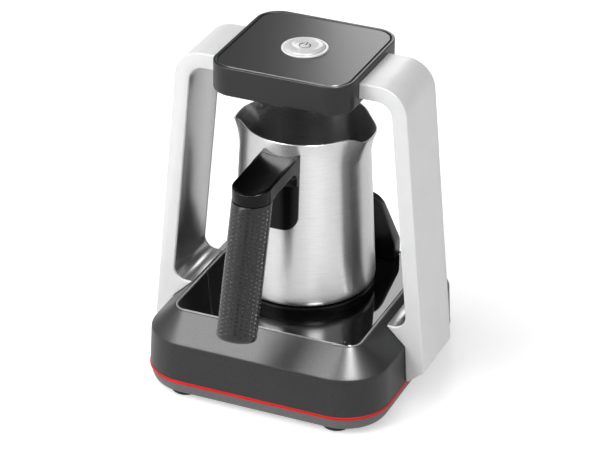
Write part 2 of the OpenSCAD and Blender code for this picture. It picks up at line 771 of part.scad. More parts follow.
module status_hole(grow) {
    translate([0, light_y, top_z - 1]) cylinder(r = light_r + grow, h = 5, $fn = 24);
}

module status_light() at_base() color("#9fb4c4") translate([0, light_y, top_z - 1])
    cylinder(r = light_r, h = button_top - top_z + 0.85, $fn = 24);

module switch_plunger() at_base() color("#e9e7df") translate([0, 0, plunger_low])
    cylinder(r = plunger_r, h = plunger_top - plunger_low);

module switch_body() at_base() color("#28282b") difference() {
    translate([-4, -4, board_head_top]) cube([8, 8, switch_h]);
    translate([0, 0, board_head_top + 0.2]) cylinder(r = plunger_r + 0.1, h = 6);
}

module button_spring() at_base() color("#c9cbcd") translate([0, 0, board_head_top]) difference() {
    cylinder(r = 7.6, h = top_z - 1.6 - board_head_top);
    translate([0, 0, -1]) cylinder(r = 6.8, h = 20);
}

// Pot ----------------------------------------------------------------------------

// The pot and its handle share one frame, turned on the plate
module at_turned_pot() {
    at_pot() rotate([0, 0, pot_turn]) children();
}

function pot_r(z) = pot_r_low + (pot_r_top - pot_r_low) * (z - pot_low) / pot_h;

module spout_hull(shrink, rise) {
    // Two points on the rim, the nose's two, and a root on the wall; a cut at the rim's height levels it
    hull() {
        for (a = [-spout_spread, spout_spread]) rotate([0, 0, a])
            translate([pot_r_top - 1.2 - shrink, 0, pot_top - 4])
                cylinder(r = 0.9, h = 4.5 + rise, $fn = 16);
        for (a = [-spout_nose, spout_nose]) rotate([0, 0, a])
            translate([pot_r_top + spout_out - 1 - shrink, 0, pot_top - spout_dip - 1.2])
                cylinder(r = 1, h = 1.2 + rise, $fn = 16);
        translate([pot_r(pot_top - spout_root) - 1.2 - shrink, 0, pot_top - spout_root])
            sphere(r = 1, $fn = 16);
    }
}

module at_spouts() {
    for (s = [-1, 1]) rotate([0, 0, -90 + s * spout_angle]) children();
}

module pot_body() at_turned_pot() color("#b9bbbd") difference() {
    union() {
        rotate_extrude($fn = 128) polygon([
            [0, pot_low], each corner_arc([0, pot_low], [pot_r_low, pot_low], [pot_r_top, pot_top],
                                          pot_edge_r, 6),
            [pot_r_top, pot_top], [0, pot_top]]);
        at_spouts() spout_hull(0, 0);
    }
    translate([0, 0, pot_low + 1.2]) rotate_extrude($fn = 128) polygon([
        [0, 0], each corner_arc([0, 0], [pot_r_low - steel_t, 0], [pot_r_top - steel_t, pot_h],
                                pot_edge_r, 6),
        [pot_r_top - steel_t, pot_h], [0, pot_h]]);
    at_spouts() spout_hull(steel_t + 0.2, 4);
    translate([0, 0, pot_top]) cylinder(r = pot_r_low, h = spout_root);
}

tab_front = pot_r(tab_low + 25) + tab_t;

// The bracket's side view, in distance from the pot's axis and height
bracket_side = rounded([
    [30, arm_top], [grip_reach + 14, arm_top - 1], [grip_reach + 14, collar_z],
    [grip_reach - 6, collar_z], [grip_reach - 8, arm_low], [tab_front, arm_low],
    [tab_front, tab_low + 2], [30, tab_low + 2]
], [0, 0, 0, 0, 0, tab_fillet, 0, 0], 8);

module bracket_plan(inset) {
    translate([-bracket_w / 2 + inset, -grip_reach]) square([bracket_w - 2 * inset, grip_reach - 20]);
    translate([0, -grip_reach]) circle(bracket_w / 2 - inset);
}

module pot_outside(gap) {
    translate([0, 0, pot_low]) cylinder(r1 = pot_r_low + gap, r2 = pot_r_top + gap, h = pot_h, $fn = 128);
}

module dish(r) {
    translate([0, 0, arm_top - dish_depth + dish_r]) rotate([90, 0, 0])
        cylinder(r = r, h = 200, $fn = 180);
}

module handle_bracket() at_turned_pot() color("#1b1b1d") difference() {
    union() {
        intersection() {
            rotate([90, 0, -90]) linear_extrude(40, center = true) polygon(bracket_side);
            translate([0, 0, arm_low - 20]) linear_extrude(60) bracket_plan(0);
            translate([-20, -120, arm_low - tab_fillet - 4]) cube([40, 120, 60]);
        }
        // Tab on the pot's wall, with two round lower corners
        intersection() {
            translate([0, 0, pot_low]) cylinder(r1 = pot_r_low + tab_t, r2 = pot_r_top + tab_t,
                                               h = pot_h, $fn = 128);
            rotate([90, 0, 0]) linear_extrude(60) {
                translate([-bracket_w / 2, tab_low + tab_corner])
                    square([bracket_w, arm_top - tab_low - tab_corner - 3]);
                translate([-bracket_w / 2 + tab_corner, tab_low])
                    square([bracket_w - 2 * tab_corner, tab_corner]);
                for (x = [-1, 1])
                    translate([x * (bracket_w / 2 - tab_corner), tab_low + tab_corner]) circle(tab_corner);
            }
        }
    }
    pot_outside(skin);
    dish(dish_r);
    // Bed for the thumb plate
    intersection() {
        dish(dish_r + 1.3);
        translate([0, 0, arm_top - 12]) linear_extrude(20) intersection() {
            bracket_plan(plate_inset);
            translate([-20, -120]) square([40, 120 - pot_r_top - 3]);
        }
    }
    // Socket for the grip's core, and holes for the screws in the tab
    grip_axis() translate([0, 0, -5]) cylinder(r = pin_r + 0.1, h = 5 + pin_h + 0.1);
    tab_screws(1.65, 2.4);
}

module thumb_plate() at_turned_pot() color("#0f0f10") difference() {
    intersection() {
        dish(dish_r + 1.3 - skin);
        translate([0, 0, arm_top - 12]) linear_extrude(20) intersection() {
            bracket_plan(plate_inset + 0.15);
            translate([-20, -120]) square([40, 120 - pot_r_top - 3.15]);
        }
    }
    dish(dish_r);
}

// The grip's own frame: origin where its axis leaves the collar, +Z up along the axis
module grip_axis() {
    translate([0, -grip_reach, collar_z]) rotate([-grip_tilt, 0, 0]) children();
}

module below_collar() {
    translate([-50, -160, 20]) cube([100, 120, collar_z - 20]);
}

module grip_shape(r, length, edge) {
    rotate_extrude() polygon([
        [0, -length], each corner_arc([0, -length], [r, -length], [r, 8], edge, 8), [r, 8], [0, 8]]);
}

module grip_core() at_turned_pot() color("#2a2a2c") difference() {
    union() {
        intersection() {
            grip_axis() grip_shape(grip_r - sleeve_t - skin, grip_len - sleeve_t, grip_edge - sleeve_t);
            below_collar();
        }
        grip_axis() translate([0, 0, -3]) cylinder(r = pin_r, h = 3 + pin_h);
    }
    grip_axis() translate([0, 0, -14]) cylinder(r = screw_r, h = 30);
}

module grip_sleeve() at_turned_pot() color("#4b4c4e") intersection() {
    difference() {
        grip_axis() grip_shape(grip_r, grip_len, grip_edge);
        grip_axis() grip_shape(grip_r - sleeve_t, grip_len - sleeve_t, grip_edge - sleeve_t);
    }
    below_collar();
}

module tab_screws(r, length) {
    for (z = [tab_low + 10, tab_low + 28]) translate([0, -pot_r(z) - 0.1, z])
        rotate([90, 0, 0]) cylinder(r = r, h = length, $fn = 32);
}

module handle_screws() at_turned_pot() color("#b8b9bb") tab_screws(1.6, 2.3);

// Nodes --------------------------------------------------------------------------

base_shell();
rim_bezel();
glass_plate();
glass_seal();
rear_guard();
red_trim();
bottom_pan();
feet();
pan_screws();
heating_plate();
plate_seal();
heating_element();
element_clamp();
heater_bracket();
bracket_screws();
thermostat();
thermal_fuse();
temperature_probe();
probe_spring();
main_board();
board_screws();
transformer();
power_relay();
filter_capacitor();
terminal_block();
buzzer();
signal_connector();
heater_leads();
cord_gland();
cord_clamp();
left_leg_shell();
left_leg_liner();
right_leg_shell();
right_leg_liner();
leg_screws();
signal_cable();
head_housing();
head_top_plate();
head_screws();
head_board();
head_board_screws();
sensor_window();
foam_sensor();
button_ring();
power_button();
power_icon();
status_light();
switch_plunger();
switch_body();
button_spring();
pot_body();
handle_bracket();
thumb_plate();
grip_core();
grip_sleeve();
handle_screws();
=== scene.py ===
from math import atan2, cos, hypot, pi, radians, sin, sqrt, tan

import bmesh
import bpy
from mathutils import Matrix, Vector


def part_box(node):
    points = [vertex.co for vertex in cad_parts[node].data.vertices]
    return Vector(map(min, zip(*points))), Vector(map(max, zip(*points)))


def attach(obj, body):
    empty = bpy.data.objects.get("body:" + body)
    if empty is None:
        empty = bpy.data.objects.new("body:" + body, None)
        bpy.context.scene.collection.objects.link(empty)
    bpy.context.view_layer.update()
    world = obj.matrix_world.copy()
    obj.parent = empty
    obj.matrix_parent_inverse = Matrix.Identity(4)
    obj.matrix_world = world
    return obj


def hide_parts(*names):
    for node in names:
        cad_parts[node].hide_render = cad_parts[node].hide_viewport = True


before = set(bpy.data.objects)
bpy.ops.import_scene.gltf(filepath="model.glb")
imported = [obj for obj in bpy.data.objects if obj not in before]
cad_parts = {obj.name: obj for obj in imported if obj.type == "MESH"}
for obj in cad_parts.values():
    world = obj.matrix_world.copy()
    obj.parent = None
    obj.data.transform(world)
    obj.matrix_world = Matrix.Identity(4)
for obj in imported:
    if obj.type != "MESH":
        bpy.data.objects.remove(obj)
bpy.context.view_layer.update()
scene = bpy.context.scene
mm = 0.001

baseLow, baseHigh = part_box("base_shell")
plateLow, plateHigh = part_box("heating_plate")
baseY = (baseLow.y + baseHigh.y) / 2 / mm  # the base's centre, in millimetres behind the origin
potY = (plateLow.y + plateHigh.y) / 2 / mm - baseY  # the pot's axis, behind the base's centre
plateTop = plateHigh.z / mm
print("frame loaded")


# Outlines and meshes, in millimetres from the base's centre


def rounded(points, radii, steps=8):
    out = []
    count = len(points)
    for i, r in enumerate(radii):
        a, p, b = (Vector(points[k % count]) for k in (i - 1, i, i + 1))
        if r <= 0:
            out.append(tuple(p))
            continue
        u, v = (a - p).normalized(), (b - p).normalized()
        half = u.angle(v) / 2
        middle = p + (u + v).normalized() * r / sin(half)
        first = p + u * r / tan(half) - middle
        last = p + v * r / tan(half) - middle
        sweep = atan2(first.x * last.y - first.y * last.x, first.dot(last))
        for k in range(steps + 1):
            c, s = cos(sweep * k / steps), sin(sweep * k / steps)
            out.append((middle.x + first.x * c - first.y * s, middle.y + first.x * s + first.y * c))
    return out


def squareRing(half, r, z, steps=14):
    ring = []
    for k, (sx, sy) in enumerate(((1, 1), (-1, 1), (-1, -1), (1, -1))):
        for j in range(steps + 1):
            a = radians(90 * (k + j / steps))
            ring.append((sx * (half - r) + r * cos(a), sy * (half - r) + r * sin(a), z))
    return ring


def holeRing(r, z, model, y):
    # a circle with a point facing each point of the model ring
    angles = [atan2(p[1], p[0]) for p in model]
    return [(r * cos(a), y + r * sin(a), z) for a in angles]


def loft(rings, closed=False):
    n = len(rings[0])
    count = len(rings)
    faces = []
    for i in range(count if closed else count - 1):
        a, b = i * n, (i + 1) % count * n
        faces += [(a + j, a + (j + 1) % n, b + (j + 1) % n, b + j) for j in range(n)]
    if not closed:
        faces += [tuple(reversed(range(n))), tuple(range((count - 1) * n, count * n))]
    return [p for ring in rings for p in ring], faces


def lathe(profile, steps=96, closed=False):
    turn = [2 * pi * k / steps for k in range(steps)]
    return loft([[(r * cos(a), r * sin(a), z) for a in turn] for r, z in profile], closed)


def alongX(u, v, w):
    return w, u, v


def alongY(u, v, w):
    return u, w, v


def prism(outline, low, high, lay):
    n = len(outline)
    points = [lay(u, v, w) for w in (low, high) for u, v in outline]
    faces = [tuple(reversed(range(n))), tuple(range(n, 2 * n))]
    faces += [(j, (j + 1) % n, n + (j + 1) % n, n + j) for j in range(n)]
    return points, faces


def brick(low, high):
    return prism([(low[0], low[1]), (high[0], low[1]), (high[0], high[1]), (low[0], high[1])],
                 low[2], high[2], lambda u, v, w: (u, v, w))


def plug(r, low, high, steps):
    return lathe([(0, low), (r, low), (r, high), (0, high)], steps)


def several(*solids):
    points, faces = [], []
    for p, f in solids:
        faces += [tuple(i + len(points) for i in face) for face in f]
        points += p
    return points, faces


def placed(solid, matrix):
    points, faces = solid
    return [tuple(matrix @ Vector(p)) for p in points], faces


def atFour(solid, x, y):
    return [placed(solid, Matrix.Translation((sx * x, sy * y, 0))) for sx in (-1, 1) for sy in (-1, 1)]


def shade(obj, sharp=32):
    obj.data.shade_smooth()
    obj.data.set_sharp_from_angle(angle=radians(sharp))
    return obj


def clean(obj, sharp=32, weld=0.004):
    bm = bmesh.new()
    bm.from_mesh(obj.data)
    bmesh.ops.remove_doubles(bm, verts=bm.verts, dist=weld * mm)
    bmesh.ops.recalc_face_normals(bm, faces=bm.faces)
    bm.to_mesh(obj.data)
    bm.free()
    return shade(obj, sharp)


def newObject(name, mesh):
    obj = bpy.data.objects.new(name, mesh)
    scene.collection.objects.link(obj)
    return obj


def piece(name, solid, sharp=32, centre=True):
    points, faces = solid
    mesh = bpy.data.meshes.new(name)
    shift = baseY if centre else 0
    mesh.from_pydata([(x * mm, (y + shift) * mm, z * mm) for x, y, z in points], [], faces)
    return clean(newObject(name, mesh), sharp)


def settle(obj):
    graph = bpy.context.evaluated_depsgraph_get()
    mesh = bpy.data.meshes.new_from_object(obj.evaluated_get(graph))
    obj.modifiers.clear()
    obj.data = mesh
    return obj


def modify(obj, kind, **settings):
    modifier = obj.modifiers.new(kind.lower(), kind)
    for key, value in settings.items():
        setattr(modifier, key, value)
    return obj


def soften(obj, width, segments=3, angle=40):
    modify(obj, "BEVEL", width=width * mm, segments=segments, limit_method="ANGLE",
           angle_limit=radians(angle), miter_outer="MITER_ARC")
    return clean(settle(obj))


def shaped(obj, solid, operation="DIFFERENCE"):
    tool = piece("tool", solid)
    modify(obj, "BOOLEAN", object=tool, operation=operation, solver="EXACT")
    settle(obj)
    bpy.data.objects.remove(tool)
    return clean(obj)


def coat(obj, look):
    obj.data.materials.clear()
    obj.data.materials.append(looks[look])


def dress(obj, look, body, node):
    coat(obj, look)
    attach(obj, body)
    if node:
        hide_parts(node)


# Node trees: an output that Python's operators work on, and the graph that it belongs to


def operator(operation, swapped=False):
    return lambda self, other: self.math(operation, *((other, self) if swapped else (self, other)))


class Wire:
    __add__, __radd__ = operator("ADD"), operator("ADD", True)
    __sub__, __rsub__ = operator("SUBTRACT"), operator("SUBTRACT", True)
    __mul__, __rmul__ = operator("MULTIPLY"), operator("MULTIPLY", True)
    __truediv__, __lt__ = operator("DIVIDE"), operator("LESS_THAN")

    def __init__(self, graph, socket):
        self.graph = graph
        self.socket = socket

    def math(self, operation, *values):
        inputs = {i: value for i, value in enumerate(values)}
        return self.graph.node("ShaderNodeMath", {"operation": operation}, inputs)

    def out(self, name):
        return Wire(self.graph, self.socket.node.outputs[name])

    def between(self, low, high):
        return self.graph.node("ShaderNodeMapRange", {"interpolation_type": "SMOOTHSTEP"},
                               {"Value": self, "From Min": low, "From Max": high})


class Graph:
    def __init__(self, tree):
        self.tree = tree

    def node(self, kind, settings=None, inputs=None, out=0):
        made = self.tree.nodes.new(kind)
        for key, value in (settings or {}).items():
            setattr(made, key, value)
        for key, value in (inputs or {}).items():
            for each in value if isinstance(value, list) else [value]:
                if isinstance(each, Wire):
                    self.tree.links.new(each.socket, made.inputs[key])
                else:
                    made.inputs[key].default_value = each
        return Wire(self, made.outputs[out]) if len(made.outputs) else None

    def shape(self, kind, inputs, out=0):
        return self.node("GeometryNode" + kind, None, inputs, out)

    def mix(self, factor, a, b):
        # for colours, the node's inputs are 6 and 7 and its output is 2
        return self.node("ShaderNodeMix", {"data_type": "RGBA"}, {0: factor, 6: a, 7: b}, 2)


class Look(Graph):
    def __init__(self, name):
        self.material = bpy.data.materials.new(name)
        self.material.use_nodes = True
        super().__init__(self.material.node_tree)
        self.tree.nodes.clear()
        self.place = self.node("ShaderNodeTexCoord", out="Object")

    def noise(self, size, detail=2.0, stretch=(1, 1, 1)):
        # size is the width of the pattern's cells, in millimetres
        vector = self.node("ShaderNodeMapping", None,
                           {"Vector": self.place, "Scale": tuple(s / (size * mm) for s in stretch)})
        return self.node("ShaderNodeTexNoise", inputs={"Vector": vector, "Scale": 1.0, "Detail": detail})

    def bump(self, height, depth):
        # depth is the height of the relief, in millimetres
        return self.node("ShaderNodeBump", inputs={"Height": height, "Distance": depth * mm, "Strength": 1.0})

    def finish(self, **values):
        names = {"colour": "Base Color", "metallic": "Metallic", "roughness": "Roughness", "normal": "Normal",
                 "anisotropic": "Anisotropic", "anisotropicTurn": "Anisotropic Rotation",
                 "glow": "Emission Color", "glowStrength": "Emission Strength", "specular": "Specular IOR Level"}
        inputs = {names[key]: value for key, value in values.items()}
        surface = self.node("ShaderNodeBsdfPrincipled", inputs=inputs)
        self.node("ShaderNodeOutputMaterial", inputs={"Surface": surface})
        return self.material


def tone(red, green=None, blue=None):
    # a colour as it shows on screen, from 0 to 255, made linear
    values = (red, red if green is None else green, red if blue is None else blue)
    return (*(((v / 255 + 0.055) / 1.055) ** 2.4 if v > 10 else v / 255 / 12.92 for v in values), 1.0)


def moulded(name, colour, roughness=0.45, grain=0.35, relief=0.006, mottle=0.06, wear=0.05, **extra):
    # moulded plastic or rubber: fine grain in relief, faint mottling and uneven gloss
    look = Look(name)
    fine = look.noise(grain, 1.0)
    broad = look.noise(14, 3.0)
    darker = tuple(c * (1 - 2.2 * mottle) for c in colour[:3]) + (1.0,)
    lighter = tuple(min(1.0, c * (1 + 2.2 * mottle)) for c in colour[:3]) + (1.0,)
    blotch = 0.5 * broad + 0.5 * fine
    return look.finish(colour=look.mix(blotch.between(0.3, 0.7), darker, lighter),
                       roughness=roughness + wear * (broad - 0.5),
                       normal=look.bump(fine, relief), **extra)


def metal(name, colour, roughness=0.3, line=0.12, along=(0.01, 0.01, 1), relief=0.002, **extra):
    # brushed or drawn metal: fine lines across one direction, with uneven gloss
    look = Look(name)
    lines = look.noise(line, 2.0, along)
    broad = look.noise(9, 2.0)
    darker = tuple(c * 0.86 for c in colour[:3]) + (1.0,)
    return look.finish(colour=look.mix(lines.between(0.25, 0.75), darker, colour), metallic=1.0,
                       roughness=roughness + 0.10 * (lines - 0.5) + 0.05 * (broad - 0.5),
                       normal=look.bump(lines, relief), **extra)


def speckled(name, colour, spark, roughness=0.5, size=0.28, relief=0.012):
    # textured plastic of the casing: a matt spark texture that glitters finely
    look = Look(name)
    fine = look.noise(size, 2.0)
    broad = look.noise(22, 2.0)
    base = look.mix(fine.between(0.42, 0.72), colour, spark)
    return look.finish(colour=look.mix(0.25 * broad, base, spark), roughness=roughness + 0.08 * (fine - 0.5),
                       normal=look.bump(fine, relief), specular=0.35)


looks = {
    "casing": speckled("casing_plastic", tone(36), tone(56), 0.36, 0.45, 0.03),
    "headCasing": speckled("head_plastic", tone(32), tone(44), 0.34, 0.45, 0.02),
    # the top plate is the head's plastic made lighter: painted light on its upward face, standing for how the light
    # falls there
    "headLidPaintedLight": speckled("head_plate_plastic", tone(52), tone(64), 0.3, 0.35, 0.01),
    "pan": speckled("pan_plastic", tone(98), tone(112), 0.5),
    "bead": moulded("bead_plastic", tone(150), 0.3),
    "red": moulded("red_plastic", tone(226, 3, 8), 0.5, relief=0.003, specular=0.2),
    "rubber": moulded("foot_rubber", tone(34), 0.7, 0.5, 0.02),
    "grip": moulded("grip_rubber", tone(30), 0.26, 0.22, 0.0015),
    "white": moulded("white_plastic", tone(236, 236, 237), 0.42, 0.5, 0.003, 0.01),
    "handle": moulded("handle_plastic", tone(5), 0.22, 0.5, 0.0006, 0.1, 0.04, specular=0.2),
    "thumb": moulded("thumb_plastic", tone(2), 0.18, 0.5, 0.0004, 0.1, 0.03, specular=0.15),
    "guard": moulded("guard_plastic", tone(12), 0.3, 0.4, 0.002),
    "enamel": moulded("plate_enamel", tone(4), 0.3, 0.3, 0.003, specular=0.2),
    "black": moulded("black_plastic", tone(28), 0.5),
    "cream": moulded("cream_plastic", tone(226, 224, 214), 0.5, mottle=0.02),
    "whitePart": moulded("white_part_plastic", tone(232), 0.45, mottle=0.015),
    "grey": moulded("cable_grey", tone(200), 0.5, mottle=0.02),
    "board": moulded("board_lacquer", tone(40, 96, 52), 0.3, 1.2, 0.004),
    "yellow": moulded("winding_tape", tone(214, 170, 50), 0.45),
    "blue": moulded("relay_plastic", tone(40, 90, 170), 0.35),
    "sleeve": moulded("capacitor_sleeve", tone(36, 38, 60), 0.3),
    "green": moulded("terminal_plastic", tone(50, 140, 70), 0.45),
    "leads": moulded("lead_insulation", tone(190, 50, 40), 0.45),
    "sensor": moulded("sensor_glass", tone(30, 14, 18), 0.08, 0.5, 0.0004),
    "button": moulded("button_plastic", tone(214), 0.28, 0.6, 0.0008, 0.006),
    "collar": moulded("collar_plastic", tone(246), 0.3, 0.6, 0.0008, 0.006),
    "mark": moulded("mark_ink", tone(12), 0.4, 0.5, 0.001),
    "steel": metal("screw_steel", tone(190), 0.3, 0.3, (1, 1, 1)),
    "sheet": metal("sheet_steel", tone(150), 0.4, 0.3, (1, 0.05, 0.05)),
    "element": metal("element_steel", tone(140), 0.45, 0.4, (1, 1, 1)),
    "probe": metal("probe_steel", tone(205), 0.25, 0.1, (1, 1, 1)),
    "liner": metal("liner_silver", tone(176), 0.3, 0.14, (1, 1, 0.01), 0.0006),
}


def steelLook():
    look = Look("pot_steel")
    lines = look.noise(0.12, 2.0, (0.012, 0.012, 1))
    broad = look.noise(30, 1.0, (0.3, 0.3, 1))
    return look.finish(colour=look.mix(lines.between(0.3, 0.7), tone(196), tone(210)), metallic=1.0,
                       roughness=0.3 + 0.12 * (lines - 0.5) + 0.04 * (broad - 0.5), anisotropic=0.8,
                       anisotropicTurn=0.25, normal=look.bump(lines, 0.0003))


def glassLook():
    look = Look("black_glass")
    film = look.noise(30, 3.0)
    return look.finish(colour=look.mix(film, tone(6), tone(11)), roughness=0.03 + 0.03 * film,
                       normal=look.bump(film, 0.0005))


def glowingLensLook():
    look = Look("status_lens")
    grain = look.noise(0.3)
    # the lens glows white by its own emission, on top of the light the lamps give it
    return look.finish(colour=look.mix(grain, tone(236), tone(246)), roughness=0.15,
                       glow=tone(240), glowStrength=0.35)


looks["potSteel"] = steelLook()
looks["glass"] = glassLook()
looks["light"] = glowingLensLook()
print("materials made")


# Camera, from the fit to the photograph

cameraSizes = {"focal": 2805.21, "azimuth": 23.13, "elevation": 28.46, "roll": 0.5, "distance": 1660.3,
               "aim": (-2.07, 0.0, 90.3)}
imageWidth = 600


def addCamera(sizes):
    azimuth, elevation, roll = (radians(sizes[k]) for k in ("azimuth", "elevation", "roll"))
    back = Vector((sin(azimuth) * cos(elevation), -cos(azimuth) * cos(elevation),
                   sin(elevation)))
    right = Vector((cos(azimuth), sin(azimuth), 0))
    up = back.cross(right)
    x = right * cos(roll) + up * sin(roll)
    y = up * cos(roll) - right * sin(roll)
    data = bpy.data.cameras.new("camera")
    data.sensor_width = 36
    data.lens = sizes["focal"] * data.sensor_width / imageWidth
    data.clip_end = 20
    camera = newObject("camera", data)
    aim = Vector(sizes["aim"]) + Vector((0, baseY, 0))
    matrix = Matrix((x, y, back)).transposed().to_4x4()
    matrix.translation = (aim + back * sizes["distance"]) * mm
    camera.matrix_world = matrix
    scene.camera = camera


addCamera(cameraSizes)


# Base

shell = {"half": 75.8, "corner": 28.9, "low": 13.25, "shoulder": (74.7, 37.2), "shoulderRound": 2.5,
         "rimHalf": 59.75, "rimHeight": 51.7, "rimCorner": 10.0, "lip": 0.6, "ledge": 53.75, "wall": 2.4}
cornerCentre = shell["half"] - shell["corner"]
deck = {"half": 53.8, "corner": 10, "low": 45.3, "high": 47.7, "edge": 0.2, "hole": 44.6}
bead = {"outline": [(59.15, 48.0), (59.15, 52.1), (58.05, 52.1), (58.05, 48.0)], "radii": [0, 0.4, 0.4, 0]}
glass = {"half": 57.65, "corner": 7.9, "low": 48.5, "high": 51.7, "edge": 0.25, "hole": 42.3}
trim = {"outline": [(73.4, 11.95), (75.7, 11.95), (75.7, 11.75), (76.05, 11.75), (76.05, 13.45), (75.7, 13.45),
                    (75.7, 13.25), (73.4, 13.25)], "radii": [0, 0, 0, 0.25, 0.25, 0, 0, 0]}
gland = {"height": 22, "hole": [(0, 66), (7, 66), (7, 74.59), (8.4, 74.6), (8.4, 80), (0, 80)],
         "profile": [(3.4, 61.8), (8.4, 61.8), (8.4, 72.4), (6.9, 72.4), (6.9, 74.7), (8.2, 74.7), (8.2, 75.1),
                     (7.5, 75.6), (5.2, 75.6), (5.0, 75.35), (4.4, 75.35), (4.2, 75.6), (3.4, 75.6)]}
towardsBack = Matrix.Translation((0, 0, gland["height"])) @ Matrix.Rotation(radians(-90), 4, "X")


def cornerAt(half):
    # the corner's radius tightens from the shoulder up to the rim
    shoulder = shell["shoulder"][0]
    if half >= shoulder:
        return half - cornerCentre
    share = (shoulder - half) / (shoulder - shell["rimHalf"])
    return max(shoulder - cornerCentre + share * (shell["rimCorner"] - shoulder + cornerCentre), 5)


def squareSweep(profile, corner=cornerAt, closed=True):
    return loft([squareRing(half, corner(half), z) for half, z in profile], closed)


def slabWithHole(half, corner, low, high, edge, hole, y, steps=14):
    outer = [squareRing(h, c, z, steps) for h, c, z in
             ((half, corner, low), (half, corner, high - edge), (half - edge, corner - edge, high))]
    inner = [holeRing(r, z, outer[0], y) for r, z in ((hole + edge, high), (hole, high - edge), (hole, low))]
    return loft(outer + inner, True)


def makeBase():
    s = shell
    rim, top = s["rimHalf"], s["rimHeight"]
    outer = rounded([(s["half"], s["low"]), s["shoulder"], (rim, top), (rim - s["lip"], top)],
                    [0, s["shoulderRound"], 0.35, 0.12], 6)
    slope = [(rim + k * (s["shoulder"][0] - rim) / 6, top - k * (top - s["shoulder"][1]) / 6)
             for k in range(5, 0, -1)]
    split = 1 + 7  # the lowest point, then those of the shoulder's round
    inner = [(rim - s["lip"], deck["high"]), (s["ledge"], deck["high"]), (s["ledge"], deck["low"]),
             (rim - s["wall"], deck["low"]), (s["shoulder"][0] - s["wall"], s["shoulder"][1] - 1),
             (s["half"] - s["wall"], s["low"])]
    body = piece("base_casing", squareSweep(outer[:split] + slope + outer[split:] + inner))
    shaped(body, placed(lathe(gland["hole"], 64), towardsBack))
    dress(body, "casing", "base", "base_shell")
    dress(piece("base_deck", slabWithHole(**deck, y=potY)), "casing", "base", None)

    outline = rounded(bead["outline"], bead["radii"], 4)
    dress(piece("rim_bead", squareSweep(outline)), "bead", "base", "rim_bezel")
    dress(piece("glass_top", slabWithHole(**glass, y=potY)), "glass", "base", "glass_plate")
    outline = rounded(trim["outline"], trim["radii"], 4)
    dress(piece("red_line", squareSweep(outline)), "red", "base", "red_trim")


pan = {"inside": [(66, 5.8), (69, 6.1), (72.8, 11.95)], "floor": [(69.8, 3.4), (69.4, 3.4)], "top": 11.95,
       "side": 24.7, "bulge": 3.6, "drop": 8.2, "slotHalf": 1, "slotY": 16, "slotsTo": 30, "slotPitch": 6,
       "low": 2, "high": 7, "screwX": 38, "screwY": 48.5, "pocketR": 3.1, "pocketTop": 5.8, "shankR": 1.7}


def makePan():
    p, low, high = pan, pan["low"], pan["high"]
    side = [(cornerCentre + p["side"] + p["bulge"] * cos(radians(a)),
             p["top"] - p["drop"] * sin(radians(a))) for a in range(0, 80, 10)]
    body = piece("lower_pan", squareSweep(p["inside"] + side + p["floor"], closed=False))
    slots = [brick((x - p["slotHalf"], -p["slotY"], low), (x + p["slotHalf"], p["slotY"], high))
             for x in range(-p["slotsTo"], p["slotsTo"] + 1, p["slotPitch"])]
    pocket = lathe([(0, low), (p["pocketR"], low), (p["pocketR"], p["pocketTop"]), (p["shankR"], p["pocketTop"]),
                    (p["shankR"], high), (0, high)], 40)
    shaped(body, several(*slots, *atFour(pocket, p["screwX"], p["screwY"])))
    dress(body, "pan", "base", "bottom_pan")


def makeGland():
    grommet = piece("cord_grommet", placed(lathe(gland["profile"], 64, True), towardsBack))
    dress(grommet, "rubber", "base", "cord_gland")


plate = {"bore": 5.3, "boreEdge": 0.3, "neck": 7.4, "stepLow": 51, "grooves": (14, 22, 30), "grooveHalf": 0.7,
         "grooveFloor": 0.35, "grooveDepth": 0.25, "flat": 41.0, "bevel": 41.7, "r": 42, "edge": 0.9,
         "flange": 44.2, "flangeTop": 47.5, "low": 45.3}


def makePlate():
    p, top = plate, plateTop
    profile = [(p["bore"], p["stepLow"]), (p["bore"], top - p["boreEdge"]), (p["bore"] + p["boreEdge"], top)]
    wide, narrow, deep = p["grooveHalf"], p["grooveFloor"], top - p["grooveDepth"]
    for r in p["grooves"]:
        profile += [(r - wide, top), (r - narrow, deep), (r + narrow, deep), (r + wide, top)]
    profile += [(p["flat"], top), (p["bevel"], deep), (p["r"], top - p["edge"]), (p["r"], p["flangeTop"]),
                (p["flange"], p["flangeTop"]), (p["flange"], p["low"]), (p["neck"], p["low"]),
                (p["neck"], p["stepLow"])]
    body = piece("hot_plate", placed(lathe(profile, 128, True), Matrix.Translation((0, potY, 0))), 20)
    dress(body, "enamel", "base", "heating_plate")


guard = {"front": [(-40.2, 51.7), (40.2, 51.7), (40.2, 63.7), (28.7, 93.7), (-28.7, 93.7), (-40.2, 63.7)],
         "radii": [0, 0, 8, 12, 12, 8], "side": [(46.5, 50.7), (57, 50.7), (57, 59.7), (52.5, 94.7), (46.5, 94.7)],
         "low": 47.5, "high": 57, "past": 50, "edge": 1.2}


def makeGuard():
    g = guard
    board = piece("splash_guard", prism(rounded(g["front"], g["radii"], 12), g["low"], g["high"], alongY))
    shaped(board, prism(g["side"], -g["past"], g["past"], alongX), "INTERSECT")
    soften(board, g["edge"], 4)
    dress(board, "guard", "base", "rear_guard")


makeBase()
makePan()
makeGland()
makePlate()
makeGuard()
print("base made")


# Legs: a shell with a bed on its inner face, and a liner in the bed

leg = {"out": 89.3, "lean": 0.0917, "thick": 9.6, "depth": 45, "strapTop": 201.7, "low": 22.4, "lowRound": 1.2,
       "tip": 13.9, "tipOut": 1.6, "tipRound": 0.8,
       "footTop": 48.9, "bend": 18, "bendInner": 9.1, "footBend": 7.5, "fit": 0.15, "tongue": 30, "edge": 1.3,
       "headHalf": 43.15, "liner": 1.6, "linerDepth": 41.4, "linerEdge": 0.25, "headGap": 0.4,
       # how far the liner's bed and the hollow behind it reach into the shell, and past the base's slope
       "bedTo": 0.2, "bedPast": 3, "hollowFrom": 0.1, "hollowTo": 7.4, "hollowPast": 4, "hollowHalf": 17.5}
strapLow = leg["strapTop"] - leg["thick"]


